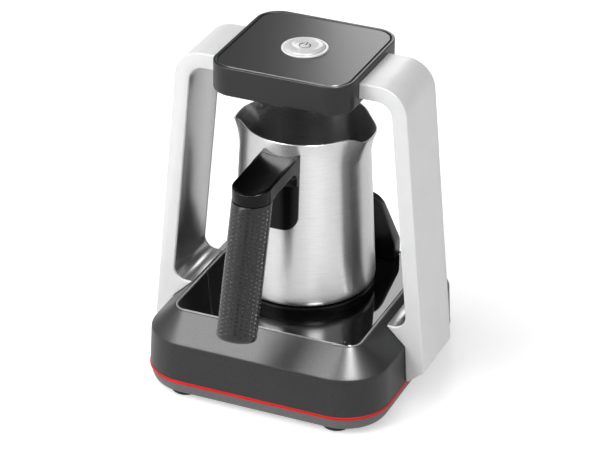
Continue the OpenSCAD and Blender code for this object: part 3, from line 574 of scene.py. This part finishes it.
def legX(z, inset=0.0):
    return leg["out"] - leg["lean"] * z - inset * hypot(1, leg["lean"])


def slopeX(z):
    (shoulder, height), rim, top = shell["shoulder"], shell["rimHalf"], shell["rimHeight"]
    return rim + (top - z) * (shoulder - rim) / (top - height)


def innerStrip(near, far, past=0.0):
    foot, thick, fit = leg["footTop"], leg["thick"], leg["fit"] - past
    start, bend, footBend = leg["headHalf"] + leg["headGap"], leg["bendInner"], leg["footBend"]
    return rounded([
        (start, strapLow + near), (legX(strapLow + near, thick - near), strapLow + near),
        (legX(foot - near, thick - near), foot - near), (slopeX(foot - near) + fit, foot - near),
        (slopeX(foot - far) + fit, foot - far), (legX(foot - far, thick - far), foot - far),
        (legX(strapLow + far, thick - far), strapLow + far), (start, strapLow + far)],
        [0, bend + near, footBend + near, 0, 0, footBend + far, bend + far, 0], 16)


def makeLeg(side, sign):
    half, shoulder, height = shell["half"], *shell["shoulder"]
    foot, fit, depth = leg["footTop"], leg["fit"], leg["depth"]
    outline = rounded([
        (leg["tongue"], leg["strapTop"]), (legX(leg["strapTop"]), leg["strapTop"]), (legX(leg["low"]), leg["low"]),
        (half + leg["tipOut"], leg["tip"]), (half + fit, leg["tip"]), (shoulder + fit, height),
        (slopeX(foot) + fit, foot),
        (legX(foot, leg["thick"]), foot), (legX(strapLow, leg["thick"]), strapLow), (leg["tongue"], strapLow)],
        [0, leg["bend"], leg["lowRound"], leg["tipRound"], 0, 0, 0, leg["footBend"], leg["bendInner"], 0], 20)
    mirrored = Matrix.Diagonal((sign, 1, 1, 1))
    body = piece(side + "_leg", placed(prism(outline, -depth / 2, depth / 2, alongY), mirrored))
    soften(body, leg["edge"], 4)
    bed, hollow = leg["linerDepth"] / 2 + 0.5, leg["hollowHalf"]
    strip = innerStrip(-1, leg["liner"] + leg["bedTo"], leg["bedPast"])
    shaped(body, placed(prism(strip, -bed, bed, alongY), mirrored))
    strip = innerStrip(leg["liner"] + leg["hollowFrom"], leg["hollowTo"], leg["hollowPast"])
    shaped(body, placed(prism(strip, -hollow, hollow, alongY), mirrored))
    dress(body, "white", "base", side + "_leg_shell")
    halfLiner = leg["linerDepth"] / 2
    strip = prism(innerStrip(0, leg["liner"]), -halfLiner, halfLiner, alongY)
    liner = soften(piece(side + "_liner", placed(strip, mirrored)), leg["linerEdge"], 2)
    dress(liner, "liner", "base", side + "_leg_liner")


makeLeg("left", -1)
makeLeg("right", 1)
print("legs made")


# Head

head = {"half": 43.15, "corner": 14.6, "low": 188.1, "top": 206.0, "recess": 40.95, "underside": 6, "rimWidth": 1.8,
        "radii": [0, 1.6, 0.55, 0.3], "rimDrop": 0.5, "step": 1.6, "floor": 2, "strapX": 36, "strapY": 14,
        "notchX": 7, "notchY": 22.75, "notchFit": 0.15, "pocketR": 3.1, "pocketTop": 2.3, "windowR": 7}
lid = {"half": 40.45, "corner": 11.9, "low": 203.6, "high": 205.8, "edge": 0.35, "hole": 12.8}
ring = {"outline": [(12.05, 203.9), (12.7, 203.9), (12.7, 205.85), (13.6, 205.85), (13.6, 206.8), (12.05, 206.8)],
        "radii": [0, 0, 0, 0, 0.45, 0.35]}
button = {"r": 11.9, "dish": 7.3, "side": 206.5, "dome": 1.9, "low": 203.0, "bore": 10.5, "core": 2.6,
          "under": 204.4, "middle": 207.4, "rise": 1.1, "lightY": -8.6,
          "light": [(0, 206), (0.55, 206), (0.55, 208.3), (0.35, 208.42), (0, 208.45)]}


def makeHead():
    half, low, top, recess = (head[k] for k in ("half", "low", "top", "recess"))
    centre, stepped = half - head["corner"], recess - head["step"]
    outer = rounded([(half - head["underside"], low), (half, low), (half, top), (half - head["rimWidth"], top)],
                    head["radii"], 6)
    profile = outer + [(recess, top - head["rimDrop"]), (recess, lid["low"]), (stepped, lid["low"]),
                       (stepped, low + head["floor"])]
    body = piece("head_casing", squareSweep(profile, lambda h: h - centre, False))
    x, y, fit = head["notchX"], head["notchY"], head["notchFit"]
    notches = [brick((side - x, -y, strapLow - fit), (side + x, y, leg["strapTop"] + fit))
               for side in (-half, half)]
    pockets = atFour(plug(head["pocketR"], low - 1, low + head["pocketTop"], 40), head["strapX"], head["strapY"])
    shaped(body, several(*notches, *pockets, plug(head["windowR"], low - 1, low + 3, 64)))
    dress(body, "headCasing", "base", "head_housing")
    # the top plate wears the lighter copy of the head's plastic, painted light for its upward face
    dress(piece("top_plate", slabWithHole(**lid, y=0, steps=20)), "headLidPaintedLight", "base", "head_top_plate")


def dishHeight(r):
    # height of the button's dished middle
    share = min(r / button["dish"], 1)
    return button["middle"] + button["rise"] * share ** 2.6


def makeButton():
    collar = piece("button_collar", lathe(rounded(ring["outline"], ring["radii"], 6), 128, True), 50)
    dress(collar, "collar", "base", "button_ring")
    r, side, bore, under = (button[k] for k in ("r", "side", "bore", "under"))
    dome = [(button["dish"] + (r - button["dish"]) * cos(a), side + button["dome"] * sin(a))
            for a in (radians(10 * k) for k in range(0, 10))]
    dish = [(button["dish"] * k / 12, dishHeight(button["dish"] * k / 12)) for k in range(12, -1, -1)]
    dish = [(x, min(z, side + button["dome"])) for x, z in dish]
    profile = [(0, under), (button["core"], under), (bore, under), (bore, button["low"]), (r, button["low"])]
    cap = piece("push_button", lathe(profile + dome + dish, 128), 50)
    dress(cap, "button", "button", "power_button")


mark = {"r": 3.2, "line": 0.7, "gap": 26, "barLow": 0.9, "barHigh": 4.3, "proud": 0.05, "depth": 0.5}


def makeMark():
    # the usual round sign for power, its gap and bar towards the back
    half, n = mark["line"] / 2, 48
    points, faces = [], []
    for k in range(n + 1):
        a = radians(90 + mark["gap"] + (360 - 2 * mark["gap"]) * k / n)
        for r in (mark["r"] - half, mark["r"] + half):
            z = dishHeight(r) + mark["proud"]
            x, y = r * cos(a), r * sin(a)
            points += [(x, y, z), (x, y, z - mark["depth"])]
    for k in range(n):
        a, b = 4 * k, 4 * k + 4
        faces += [(a, a + 2, b + 2, b), (a + 1, b + 1, b + 3, a + 3)]
        faces += [(a, b, b + 1, a + 1), (a + 2, a + 3, b + 3, b + 2)]
    faces += [(0, 1, 3, 2), (4 * n, 4 * n + 2, 4 * n + 3, 4 * n + 1)]
    rows = [[(x, y, dishHeight(y) + mark["proud"] - drop) for x, drop in
             ((-half, 0), (half, 0), (half, mark["depth"]), (-half, mark["depth"]))]
            for y in (mark["barLow"] + (mark["barHigh"] - mark["barLow"]) * k / 6 for k in range(7))]
    sign = piece("power_sign", several((points, faces), loft(rows)), 40)
    dress(sign, "mark", "button", "power_icon")
    lens = placed(lathe(button["light"], 24), Matrix.Translation((0, button["lightY"], 0)))
    dress(piece("status_lens", lens), "light", "button", "status_light")


makeHead()
makeButton()
makeMark()
print("head made")


# Pot: a turned body whose wall runs out into two pouring lips

pot = {"low": 56.65, "height": 104.3, "rLow": 42.7, "rTop": 37.7, "edge": 4.5, "steel": 0.9, "turn": 1.5,
       "columns": 288, "rows": 48, "floor": 1.2, "dent": 0.5, "core": 2, "dentR": (30, 32), "bendR": (42.5, 41.5),
       "rim": ((0.15, 0.18), (0.45, 0.25), (0.75, 0.18)),  # inset and lift of the rolled rim's rows
       # where a lip starts and its nose starts, ends, and the lip ends, in degrees from the handle
       "lipEdges": (45, 78, 99, 125), "dipEdges": (50, 74, 104, 130), "lipOut": 4.6, "lipRoot": 17, "lipDip": 4.0}
potFrame = Matrix.Translation((0, potY, 0)) @ Matrix.Rotation(radians(pot["turn"]), 4, "Z")


def wallRadius(z):
    return pot["rLow"] + (pot["rTop"] - pot["rLow"]) * (z - pot["low"]) / pot["height"]


def smooth(x):
    return x * x * (3 - 2 * x)


def lipShare(angle, edges, power):
    # from 0 outside the lips to 1 on their noses, rising late on the handle's side
    off = abs((angle + 90 + 180) % 360 - 180)
    near = min(max((off - edges[0]) / (edges[1] - edges[0]), 0), 1)
    far = min(max((edges[3] - off) / (edges[3] - edges[2]), 0), 1)
    return near ** power * smooth(far)


def potPoint(angle, height, inset):
    # height runs from 0 at the bottom to 1 at the rim
    top = pot["low"] + pot["height"] - pot["lipDip"] * lipShare(angle, pot["dipEdges"], 3.0)
    z = pot["low"] + height * (top - pot["low"])
    rise = max(0.0, 1 - (top - z) / pot["lipRoot"])
    return wallRadius(z) + pot["lipOut"] * lipShare(angle, pot["lipEdges"], 2.2) * rise ** 1.6 - inset, z


def makePot():
    n, rows = pot["columns"], pot["rows"]
    angles = [360 * k / n for k in range(n)]
    low, edge, steel = pot["low"], pot["edge"], pot["steel"]

    def flat(r, z):
        return [(r * cos(radians(a)), r * sin(radians(a)), z) for a in angles]

    def wall(height, inset, lift=0.0):
        ringPoints = []
        for a in angles:
            r, z = potPoint(a, height, inset)
            ringPoints.append((r * cos(radians(a)), r * sin(radians(a)), z + lift))
        return ringPoints

    def heights(first):
        # rows draw closer towards the rim
        return [first + (1 - first) * (1 - (1 - k / rows) ** 1.5) for k in range(1, rows + 1)]

    def bend(r, z, radius):
        turns = [radians(a) for a in range(0, 91, 15)]
        return [flat(r - radius + radius * sin(a), z + radius - radius * cos(a)) for a in turns]

    floor, dent = low + pot["floor"], low + pot["dent"]
    core, outerR, innerR = pot["core"], *pot["bendR"]
    outer = [flat(core, dent), flat(pot["dentR"][0], dent), flat(pot["dentR"][1], low)] + bend(outerR, low, edge)
    outer += [wall(h, 0) for h in heights(edge / pot["height"])]
    rim = [wall(1, inset, lift) for inset, lift in pot["rim"]]
    inner = [wall(h, steel) for h in reversed(heights(edge / pot["height"] + 0.02))]
    inner += list(reversed(bend(innerR, floor, edge))) + [flat(core, floor)]
    body = piece("steel_pot", placed(loft(outer + rim + inner), potFrame), 60)
    dress(body, "potSteel", "pot", "pot_body")


makePot()


# Handle

handle = {"reach": 80.2, "collar": 146.3, "gripR": 11.6, "gripLength": 82, "gripEdge": 3, "tilt": 16.8,
          "sleeve": 2, "dish": 34, "dishZ": 187.8, "plateHalf": 9.95, "plateThick": 1.2, "plateEdge": 0.12,
          "plateDraft": 0.97, "plateStart": 40.9, "voxel": 0.42, "smoothing": 7}


def mergedCopy(name, node):
    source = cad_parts[node].data
    mesh = bpy.data.meshes.new(name)
    mesh.from_pydata([v.co.copy() for v in source.vertices], [], [tuple(p.vertices) for p in source.polygons])
    return clean(newObject(name, mesh))


def makeBracket():
    body = mergedCopy("handle_arm", "handle_bracket")
    modify(body, "REMESH", mode="VOXEL", voxel_size=handle["voxel"] * mm)
    modify(body, "SMOOTH", factor=0.5, iterations=handle["smoothing"])
    settle(body)
    clean(body, 60)
    dress(body, "handle", "pot", "handle_bracket")


def makeThumbPlate():
    h = handle
    stations = [h["plateStart"] + (h["reach"] - h["plateStart"]) * k / 12 for k in range(13)]
    stations += [h["reach"] + h["plateHalf"] * sin(radians(9 * k)) for k in range(1, 10)]
    stations += [h["reach"] + h["plateHalf"] * 0.9995]
    rows = []
    for far in stations:
        past = max(0.0, far - h["reach"])
        half = sqrt(max(h["plateHalf"] ** 2 - past ** 2, 0.01))
        across = [-half + 2 * half * k / 20 for k in range(21)]
        top = [(x, -far, h["dishZ"] - sqrt(h["dish"] ** 2 - x * x)) for x in across]
        under = [(x * h["plateDraft"], y, z - h["plateThick"]) for x, y, z in reversed(top)]
        drops = [h["plateEdge"] if k in (0, 20) else 0 for k in range(21)]
        rows.append([(x, y, z - drop) for (x, y, z), drop in zip(top, drops)] + under)
    plate = piece("thumb_rest", placed(loft(rows), potFrame), 50)
    dress(plate, "thumb", "pot", "thumb_plate")


makeBracket()
makeThumbPlate()
print("pot made")


# Dimpled grip: cells with a dimple, laid on a grid, wrapped into a tube

grip = {"columns": 24, "rows": 33, "rowPitch": 2.5, "low": -78.6, "dimpleR": 0.72, "depth": 0.8, "margin": 2.4}


def cellMesh(name, width, height, dimpleAt):
    # one cell of the pattern, with a dimple at dimpleAt of its height, or plain without one
    border = [(width, height / 2), (width, height), (width / 2, height), (0, height), (0, height / 2), (0, 0),
              (width / 2, 0), (width, 0)]
    if dimpleAt is None:
        points, faces = [(x, y, 0) for x, y in border], [tuple(range(8))]
    else:
        rings = [border]
        for share in (1, 0.62):
            r, turns = share * grip["dimpleR"], [k * pi / 4 for k in range(8)]
            rings.append([(width / 2 + r * cos(a), height * dimpleAt + r * sin(a)) for a in turns])
        depths = (0, 0, -0.75 * grip["depth"])
        points = [(x, y, z) for ringPoints, z in zip(rings, depths) for x, y in ringPoints]
        points.append((width / 2, height * dimpleAt, -grip["depth"]))
        faces = [(8 * i + j, 8 * i + (j + 1) % 8, 8 * i + 8 + (j + 1) % 8, 8 * i + 8 + j)
                 for i in range(2) for j in range(8)]
        faces += [(16 + j, 16 + (j + 1) % 8, 24) for j in range(8)]
    mesh = bpy.data.meshes.new(name)
    mesh.from_pydata([(x * mm, y * mm, z * mm) for x, y, z in points], [], faces)
    return newObject(name, mesh)


def geometryTree(name, sockets):
    tree = bpy.data.node_groups.new(name, "GeometryNodeTree")
    tree.interface.new_socket(name="Geometry", in_out="INPUT", socket_type="NodeSocketGeometry")
    for label, kind in sockets.items():
        tree.interface.new_socket(name=label, in_out="INPUT", socket_type="NodeSocket" + kind)
    tree.interface.new_socket(name="Geometry", in_out="OUTPUT", socket_type="NodeSocketGeometry")
    graph = Graph(tree)
    start = graph.node("NodeGroupInput")
    return graph, start.out


def objectShape(graph, chosen):
    return graph.node("GeometryNodeObjectInfo", {"transform_space": "ORIGINAL"}, {"Object": chosen}, "Geometry")


def endTree(graph, shape, material):
    dressed = graph.shape("SetMaterial", {"Geometry": shape, "Material": material})
    graph.node("NodeGroupOutput", inputs={0: dressed})
    return graph


def runTree(obj, graph, values):
    modifier = obj.modifiers.new(graph.tree.name, "NODES")
    modifier.node_group = graph.tree
    for item in graph.tree.interface.items_tree:
        if item.in_out == "INPUT" and item.name in values:
            modifier[item.identifier] = values[item.name]
    return settle(obj)


def gripTree():
    graph, value = geometryTree("dimpled_grip", {
        "Columns": "Int", "Rows": "Int", "Column Pitch": "Float", "Row Pitch": "Float", "Radius": "Float",
        "Collar Slant": "Float", "Margin": "Float", "Low End": "Float", "Low Cell": "Object", "High Cell": "Object",
        "Plain Cell": "Object", "Material": "Material"})
    columns, rows = value("Columns"), value("Rows")
    pitch, rowPitch, radius = value("Column Pitch"), value("Row Pitch"), value("Radius")
    grid = graph.shape("MeshGrid", {"Size X": pitch * (columns - 1), "Size Y": rowPitch * (rows - 1),
                                    "Vertices X": columns, "Vertices Y": rows})
    share = graph.node("GeometryNodeInputIndex") / rows
    column = share.math("FLOOR", share)
    odd = column.math("MODULO", column, 2.0)
    spot = graph.node("ShaderNodeSeparateXYZ", inputs={0: graph.node("GeometryNodeInputPosition")})
    height = spot.out("Y") + rowPitch * (rows - 1) * 0.5 + value("Low End") + rowPitch * 0.5
    angle = (spot.out("X") + pitch * 0.5) / radius
    seam = radius * angle.math("SINE", angle) * value("Collar Slant")
    dimpled = height < seam - value("Margin")
    laid = []
    kinds = (("Plain Cell", 1 - dimpled), ("High Cell", dimpled * (1 - odd)), ("Low Cell", dimpled * odd))
    for name, chosen in kinds:
        laid.append(graph.shape("InstanceOnPoints", {
            "Points": grid, "Instance": objectShape(graph, value(name)), "Selection": chosen}))
    laid = graph.shape("JoinGeometry", {0: laid})
    flat = graph.shape("RealizeInstances", {0: laid})
    at = graph.node("ShaderNodeSeparateXYZ", inputs={0: graph.node("GeometryNodeInputPosition")})
    around = at.out("X") / radius
    out = radius + at.out("Z")
    place = graph.node("ShaderNodeCombineXYZ", inputs={
        "X": out * around.math("COSINE", around), "Y": out * around.math("SINE", around),
        "Z": at.out("Y") + rowPitch * (rows - 1) * 0.5 + value("Low End")})
    wrapped = graph.shape("SetPosition", {"Geometry": flat, "Position": place})
    welded = graph.shape("MergeByDistance", {"Geometry": wrapped, "Distance": 0.00002})
    return endTree(graph, welded, value("Material"))


def closeGrip(obj):
    # cuts the tube along the collar, rounds its lower end, and gives it an inner wall
    h = handle
    tilt, r = radians(h["tilt"]), h["gripR"]
    bm = bmesh.new()
    bm.from_mesh(obj.data)
    bmesh.ops.remove_doubles(bm, verts=bm.verts, dist=0.01 * mm)
    bmesh.ops.bisect_plane(bm, geom=bm.verts[:] + bm.edges[:] + bm.faces[:], dist=0.01 * mm,
                           plane_co=(0, 0, -0.05 * mm), plane_no=(0, -sin(tilt), cos(tilt)),
                           clear_outer=True)
    middle = (grip["low"] / 2) * mm

    def openEdges(upper):
        return [e for e in bm.edges if e.is_boundary and (e.verts[0].co.z > middle) == upper]

    def extend(edges, change):
        made = bmesh.ops.extrude_edge_only(bm, edges=edges)["geom"]
        for v in (g for g in made if isinstance(g, bmesh.types.BMVert)):
            v.co = change(v.co)
        return [g for g in made if isinstance(g, bmesh.types.BMEdge)]

    def scaled(share, z=None):
        return lambda co: Vector((co.x * share, co.y * share, co.z if z is None else z))

    edges = openEdges(False)
    e, end, now = h["gripEdge"], -h["gripLength"], r
    for a in range(0, 91, 15):
        then = r - e + e * cos(radians(a))
        edges = extend(edges, scaled(then / now, (end + e - e * sin(radians(a))) * mm))
        now = then
    bmesh.ops.contextual_create(bm, geom=edges)
    edges = openEdges(True)
    share = (r - h["sleeve"]) / r
    slant = tan(tilt)
    edges = extend(edges, lambda co: Vector((co.x * share, co.y * share, co.y * share * slant - 0.05 * mm)))
    edges = extend(edges, scaled(1, (end + h["sleeve"]) * mm))
    bmesh.ops.contextual_create(bm, geom=edges)
    bmesh.ops.recalc_face_normals(bm, faces=bm.faces)
    bm.to_mesh(obj.data)
    bm.free()


def makeGrip():
    h, g = handle, grip
    pitch = 2 * pi * h["gripR"] / g["columns"]
    cells = {"Low Cell": cellMesh("low_cell", pitch, g["rowPitch"], 0.25),
             "High Cell": cellMesh("high_cell", pitch, g["rowPitch"], 0.75),
             "Plain Cell": cellMesh("plain_cell", pitch, g["rowPitch"], None)}
    sleeve = newObject("rubber_grip", bpy.data.meshes.new("rubber_grip"))
    runTree(sleeve, gripTree(), {
        "Columns": g["columns"], "Rows": g["rows"], "Column Pitch": pitch * mm, "Row Pitch": g["rowPitch"] * mm,
        "Radius": h["gripR"] * mm, "Collar Slant": tan(radians(h["tilt"])), "Margin": g["margin"] * mm,
        "Low End": g["low"] * mm, "Material": looks["grip"], **cells})
    for cell in cells.values():
        bpy.data.objects.remove(cell)
    closeGrip(sleeve)
    place = Matrix.Translation((0, (baseY + potY) * mm, 0)) @ Matrix.Rotation(radians(pot["turn"]), 4, "Z")
    place = place @ Matrix.Translation((0, -h["reach"] * mm, h["collar"] * mm))
    sleeve.data.transform(place @ Matrix.Rotation(radians(-h["tilt"]), 4, "X"))
    shade(sleeve, 50)
    dress(sleeve, "grip", "pot", "grip_sleeve")


makeGrip()
print("grip made")


# Screws and feet, set out on points by node trees


def layOut(graph, value, item):
    laid = graph.shape("InstanceOnPoints", {"Points": value("Geometry"), "Instance": item})
    return endTree(graph, graph.shape("RealizeInstances", {0: laid}), value("Material"))


def screwTree():
    graph, value = geometryTree("cross_screws", {
        "Head Radius": "Float", "Head Height": "Float", "Shank Radius": "Float", "Shank Length": "Float",
        "Cross Width": "Float", "Cross Length": "Float", "Cross Depth": "Float", "Material": "Material"})
    high, deep = value("Head Height"), value("Cross Depth")
    wide, long = value("Cross Width"), value("Cross Length")
    cap = graph.shape("MeshCone", {
        "Vertices": 40, "Radius Top": value("Head Radius"), "Radius Bottom": value("Head Radius") * 0.8,
        "Depth": high}, out="Mesh")
    arms = []
    for x, y in ((wide, long), (long, wide)):
        size = graph.node("ShaderNodeCombineXYZ", inputs={"X": x, "Y": y, "Z": deep * 2})
        arms.append(graph.shape("MeshCube", {"Size": size}, out="Mesh"))
    cross = graph.node("GeometryNodeMeshBoolean", {"operation": "UNION", "solver": "EXACT"}, {"Mesh 2": arms})
    cut = graph.node("GeometryNodeMeshBoolean", {"operation": "DIFFERENCE", "solver": "EXACT"},
                     {"Mesh 1": cap, "Mesh 2": cross})
    rod = graph.shape("MeshCylinder", {
        "Vertices": 24, "Radius": value("Shank Radius"), "Depth": value("Shank Length")}, out="Mesh")
    lift = graph.node("ShaderNodeCombineXYZ", inputs={"Z": high + value("Shank Length") * 0.5})
    rod = graph.shape("Transform", {"Geometry": rod, "Translation": lift})
    screw = graph.shape("JoinGeometry", {0: [cut, rod]})
    return layOut(graph, value, screw)


def footTree():
    graph, value = geometryTree("rubber_feet", {"Foot": "Object", "Material": "Material"})
    return layOut(graph, value, objectShape(graph, value("Foot")))


def onPoints(name, x, y, z):
    mesh = bpy.data.meshes.new(name)
    mesh.from_pydata([(sx * x * mm, (sy * y + baseY) * mm, z * mm) for sx in (-1, 1) for sy in (-1, 1)], [], [])
    return newObject(name, mesh)


screw = {"Head Radius": 2.8, "Head Height": 1.8, "Shank Radius": 1.35, "Cross Width": 0.7, "Cross Length": 3.2,
         "Cross Depth": 0.9}
fixings = (
    # name, x and y of the four screws, height of the heads, length of the shanks
    ("pan", pan["screwX"], pan["screwY"], 4.0, 13.6),
    ("head", head["strapX"], head["strapY"], 188.3, 7.5))
foot = {"x": 48.5, "y": 61.6, "steps": 48, "radii": [0, 1.0, 0.5, 0, 0, 0, 0],
        "profile": [(0, 0), (7.9, 0), (9, 1.4), (9, 3.4), (4.9, 3.4), (4.9, 4.9), (0, 4.9)]}


def makeFasteners():
    # heads face down, in their pockets under the pan and under the head
    tree = screwTree()
    sizes = {name: size * mm for name, size in screw.items()}
    for name, x, y, z, shank in fixings:
        values = {**sizes, "Shank Length": shank * mm, "Material": looks["steel"]}
        screws = runTree(onPoints(name + "_fixings", x, y, z), tree, values)
        dress(clean(screws), "steel", "base", name + "_screws")


def makeFeet():
    profile = rounded(foot["profile"], foot["radii"], 5)
    pattern = piece("foot_pattern", lathe(profile, foot["steps"]), centre=False)
    feet = runTree(onPoints("rubber_feet", foot["x"], foot["y"], 0), footTree(),
                   {"Foot": pattern, "Material": looks["rubber"]})
    bpy.data.objects.remove(pattern)
    dress(clean(feet), "rubber", "base", "feet")


makeFasteners()
makeFeet()
print("fasteners made")


# Inner pieces keep their construction shapes and get their finishes

innerLooks = {
    "rubber": "glass_seal plate_seal", "element": "heating_element",
    "sheet": "element_clamp heater_bracket cord_clamp",
    "steel": "bracket_screws probe_spring board_screws leg_screws head_board_screws button_spring handle_screws",
    "cream": "thermostat switch_plunger", "whitePart": "thermal_fuse signal_connector",
    "probe": "temperature_probe", "board": "main_board head_board", "yellow": "transformer",
    "blue": "power_relay", "sleeve": "filter_capacitor", "green": "terminal_block",
    "black": "buzzer foam_sensor switch_body grip_core", "leads": "heater_leads", "grey": "signal_cable",
    "sensor": "sensor_window"}
for look, nodes in innerLooks.items():
    for node in nodes.split():
        coat(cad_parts[node], look)


# Studio: a pale floor, soft boxes at both sides and above, and lamps; two lamps show only in gloss

studio = {
    "floor": 6.0, "floorTones": (0.86, 0.9), "floorGlow": (0.2, 0.25), "ambient": 0.07, "backdrop": (0.1, 0.22),
    "boxes": [
        # direction, cosines where the glow starts and is full, strength
        ((-0.86, -0.38, 0.34), 0.72, 0.95, 1.15),
        ((0.93, -0.05, 0.36), 0.74, 0.95, 0.6),
        ((-0.34, -0.46, 0.81), 0.86, 0.98, 1.8),
        ((0.2, -0.2, 0.96), 0.6, 0.97, 0.5)],
    "lamps": [
        # name, place (m), width and height (m), power (W), aim (m), whether it lights matt surfaces
        ("key", (-0.75, -1.2, 0.85), (0.8, 0.8), 9.4, (0, 0, 0.1), True),
        ("left", (-1.2, -0.4, 0.6), (0.3, 0.8), 0.7, (0, 0, 0.1), True),
        ("right", (1.3, -0.35, 0.8), (0.6, 0.6), 1.9, (0, 0, 0.1), True),
        ("slope", (-0.48, -0.7, 1.18), (0.6, 0.6), 18.0, (0, -0.06, 0.04), False),
        ("corner", (0.5, -0.45, 1.18), (0.36, 0.36), 48.0, (0, 0, 0.05), False),
        ("panel", (-0.1, 0.45, 0.39), (0.12, 0.24), 0.4, (0.05, 0, 0.25), True)]}


def backdropShare(graph):
    # 1 for the rays that see the background: straight from the camera, off metal and through glass
    path = graph.node("ShaderNodeLightPath")
    seen = path.out("Is Camera Ray") + path.out("Is Glossy Ray") + path.out("Is Transmission Ray")
    return seen.math("MINIMUM", seen, 1.0), path.out("Is Camera Ray")


def makeFloor():
    mesh = bpy.data.meshes.new("floor")
    half = studio["floor"] / 2
    corners = [(x * half, y * half, 0) for x, y in ((-1, -1), (1, -1), (1, 1), (-1, 1))]
    mesh.from_pydata(corners, [], [(0, 1, 2, 3)])
    floor = newObject("floor", mesh)
    look = Look("floor_paint")
    darker, lighter = ((v, v, v, 1) for v in studio["floorTones"])
    paint = look.node("ShaderNodeBsdfDiffuse", inputs={"Color": look.mix(look.noise(40, 2.0), darker, lighter)})
    seen, camera = backdropShare(look)
    forSeen, forCamera = studio["floorGlow"]
    glow = forSeen * seen + forCamera * camera
    light = look.node("ShaderNodeEmission", inputs={"Color": (1, 1, 1, 1), "Strength": glow})
    both = look.node("ShaderNodeAddShader", inputs={0: paint, 1: light})
    look.node("ShaderNodeOutputMaterial", inputs={"Surface": both})
    mesh.materials.append(look.material)


def makeWorld():
    world = bpy.data.worlds.new("studio")
    scene.world = world
    world.use_nodes = True
    world.node_tree.nodes.clear()
    graph = Graph(world.node_tree)
    direction = graph.node("ShaderNodeTexCoord", out="Generated")
    sky = graph.node("ShaderNodeValue")
    sky.socket.default_value = studio["ambient"]
    for axis, start, full, strength in studio["boxes"]:
        towards = graph.node("ShaderNodeVectorMath", {"operation": "DOT_PRODUCT"},
                             {0: direction, 1: tuple(Vector(axis).normalized())}, "Value")
        sky = sky + strength * towards.between(start, full)
    seen, camera = backdropShare(graph)
    height = graph.node("ShaderNodeSeparateXYZ", inputs={0: direction}).out("Z")
    low = seen * (1 - height.between(*studio["backdrop"]))
    white = camera.math("MAXIMUM", camera, low)
    glow = white + (1 - white) * sky
    light = graph.node("ShaderNodeBackground", inputs={"Color": (1, 1, 1, 1), "Strength": glow})
    graph.node("ShaderNodeOutputWorld", inputs={"Surface": light})


def makeLamps():
    for name, place, size, power, aim, matt in studio["lamps"]:
        data = bpy.data.lights.new(name, "AREA")
        data.shape = "RECTANGLE"
        data.size, data.size_y = size
        data.energy = power
        lamp = newObject(name, data)
        lamp.location = place
        lamp.visible_diffuse = matt
        lamp.rotation_euler = (Vector(aim) - Vector(place)).to_track_quat("-Z", "Y").to_euler()


makeFloor()
makeWorld()
makeLamps()
scene.view_settings.view_transform = "Standard"
print("studio made")
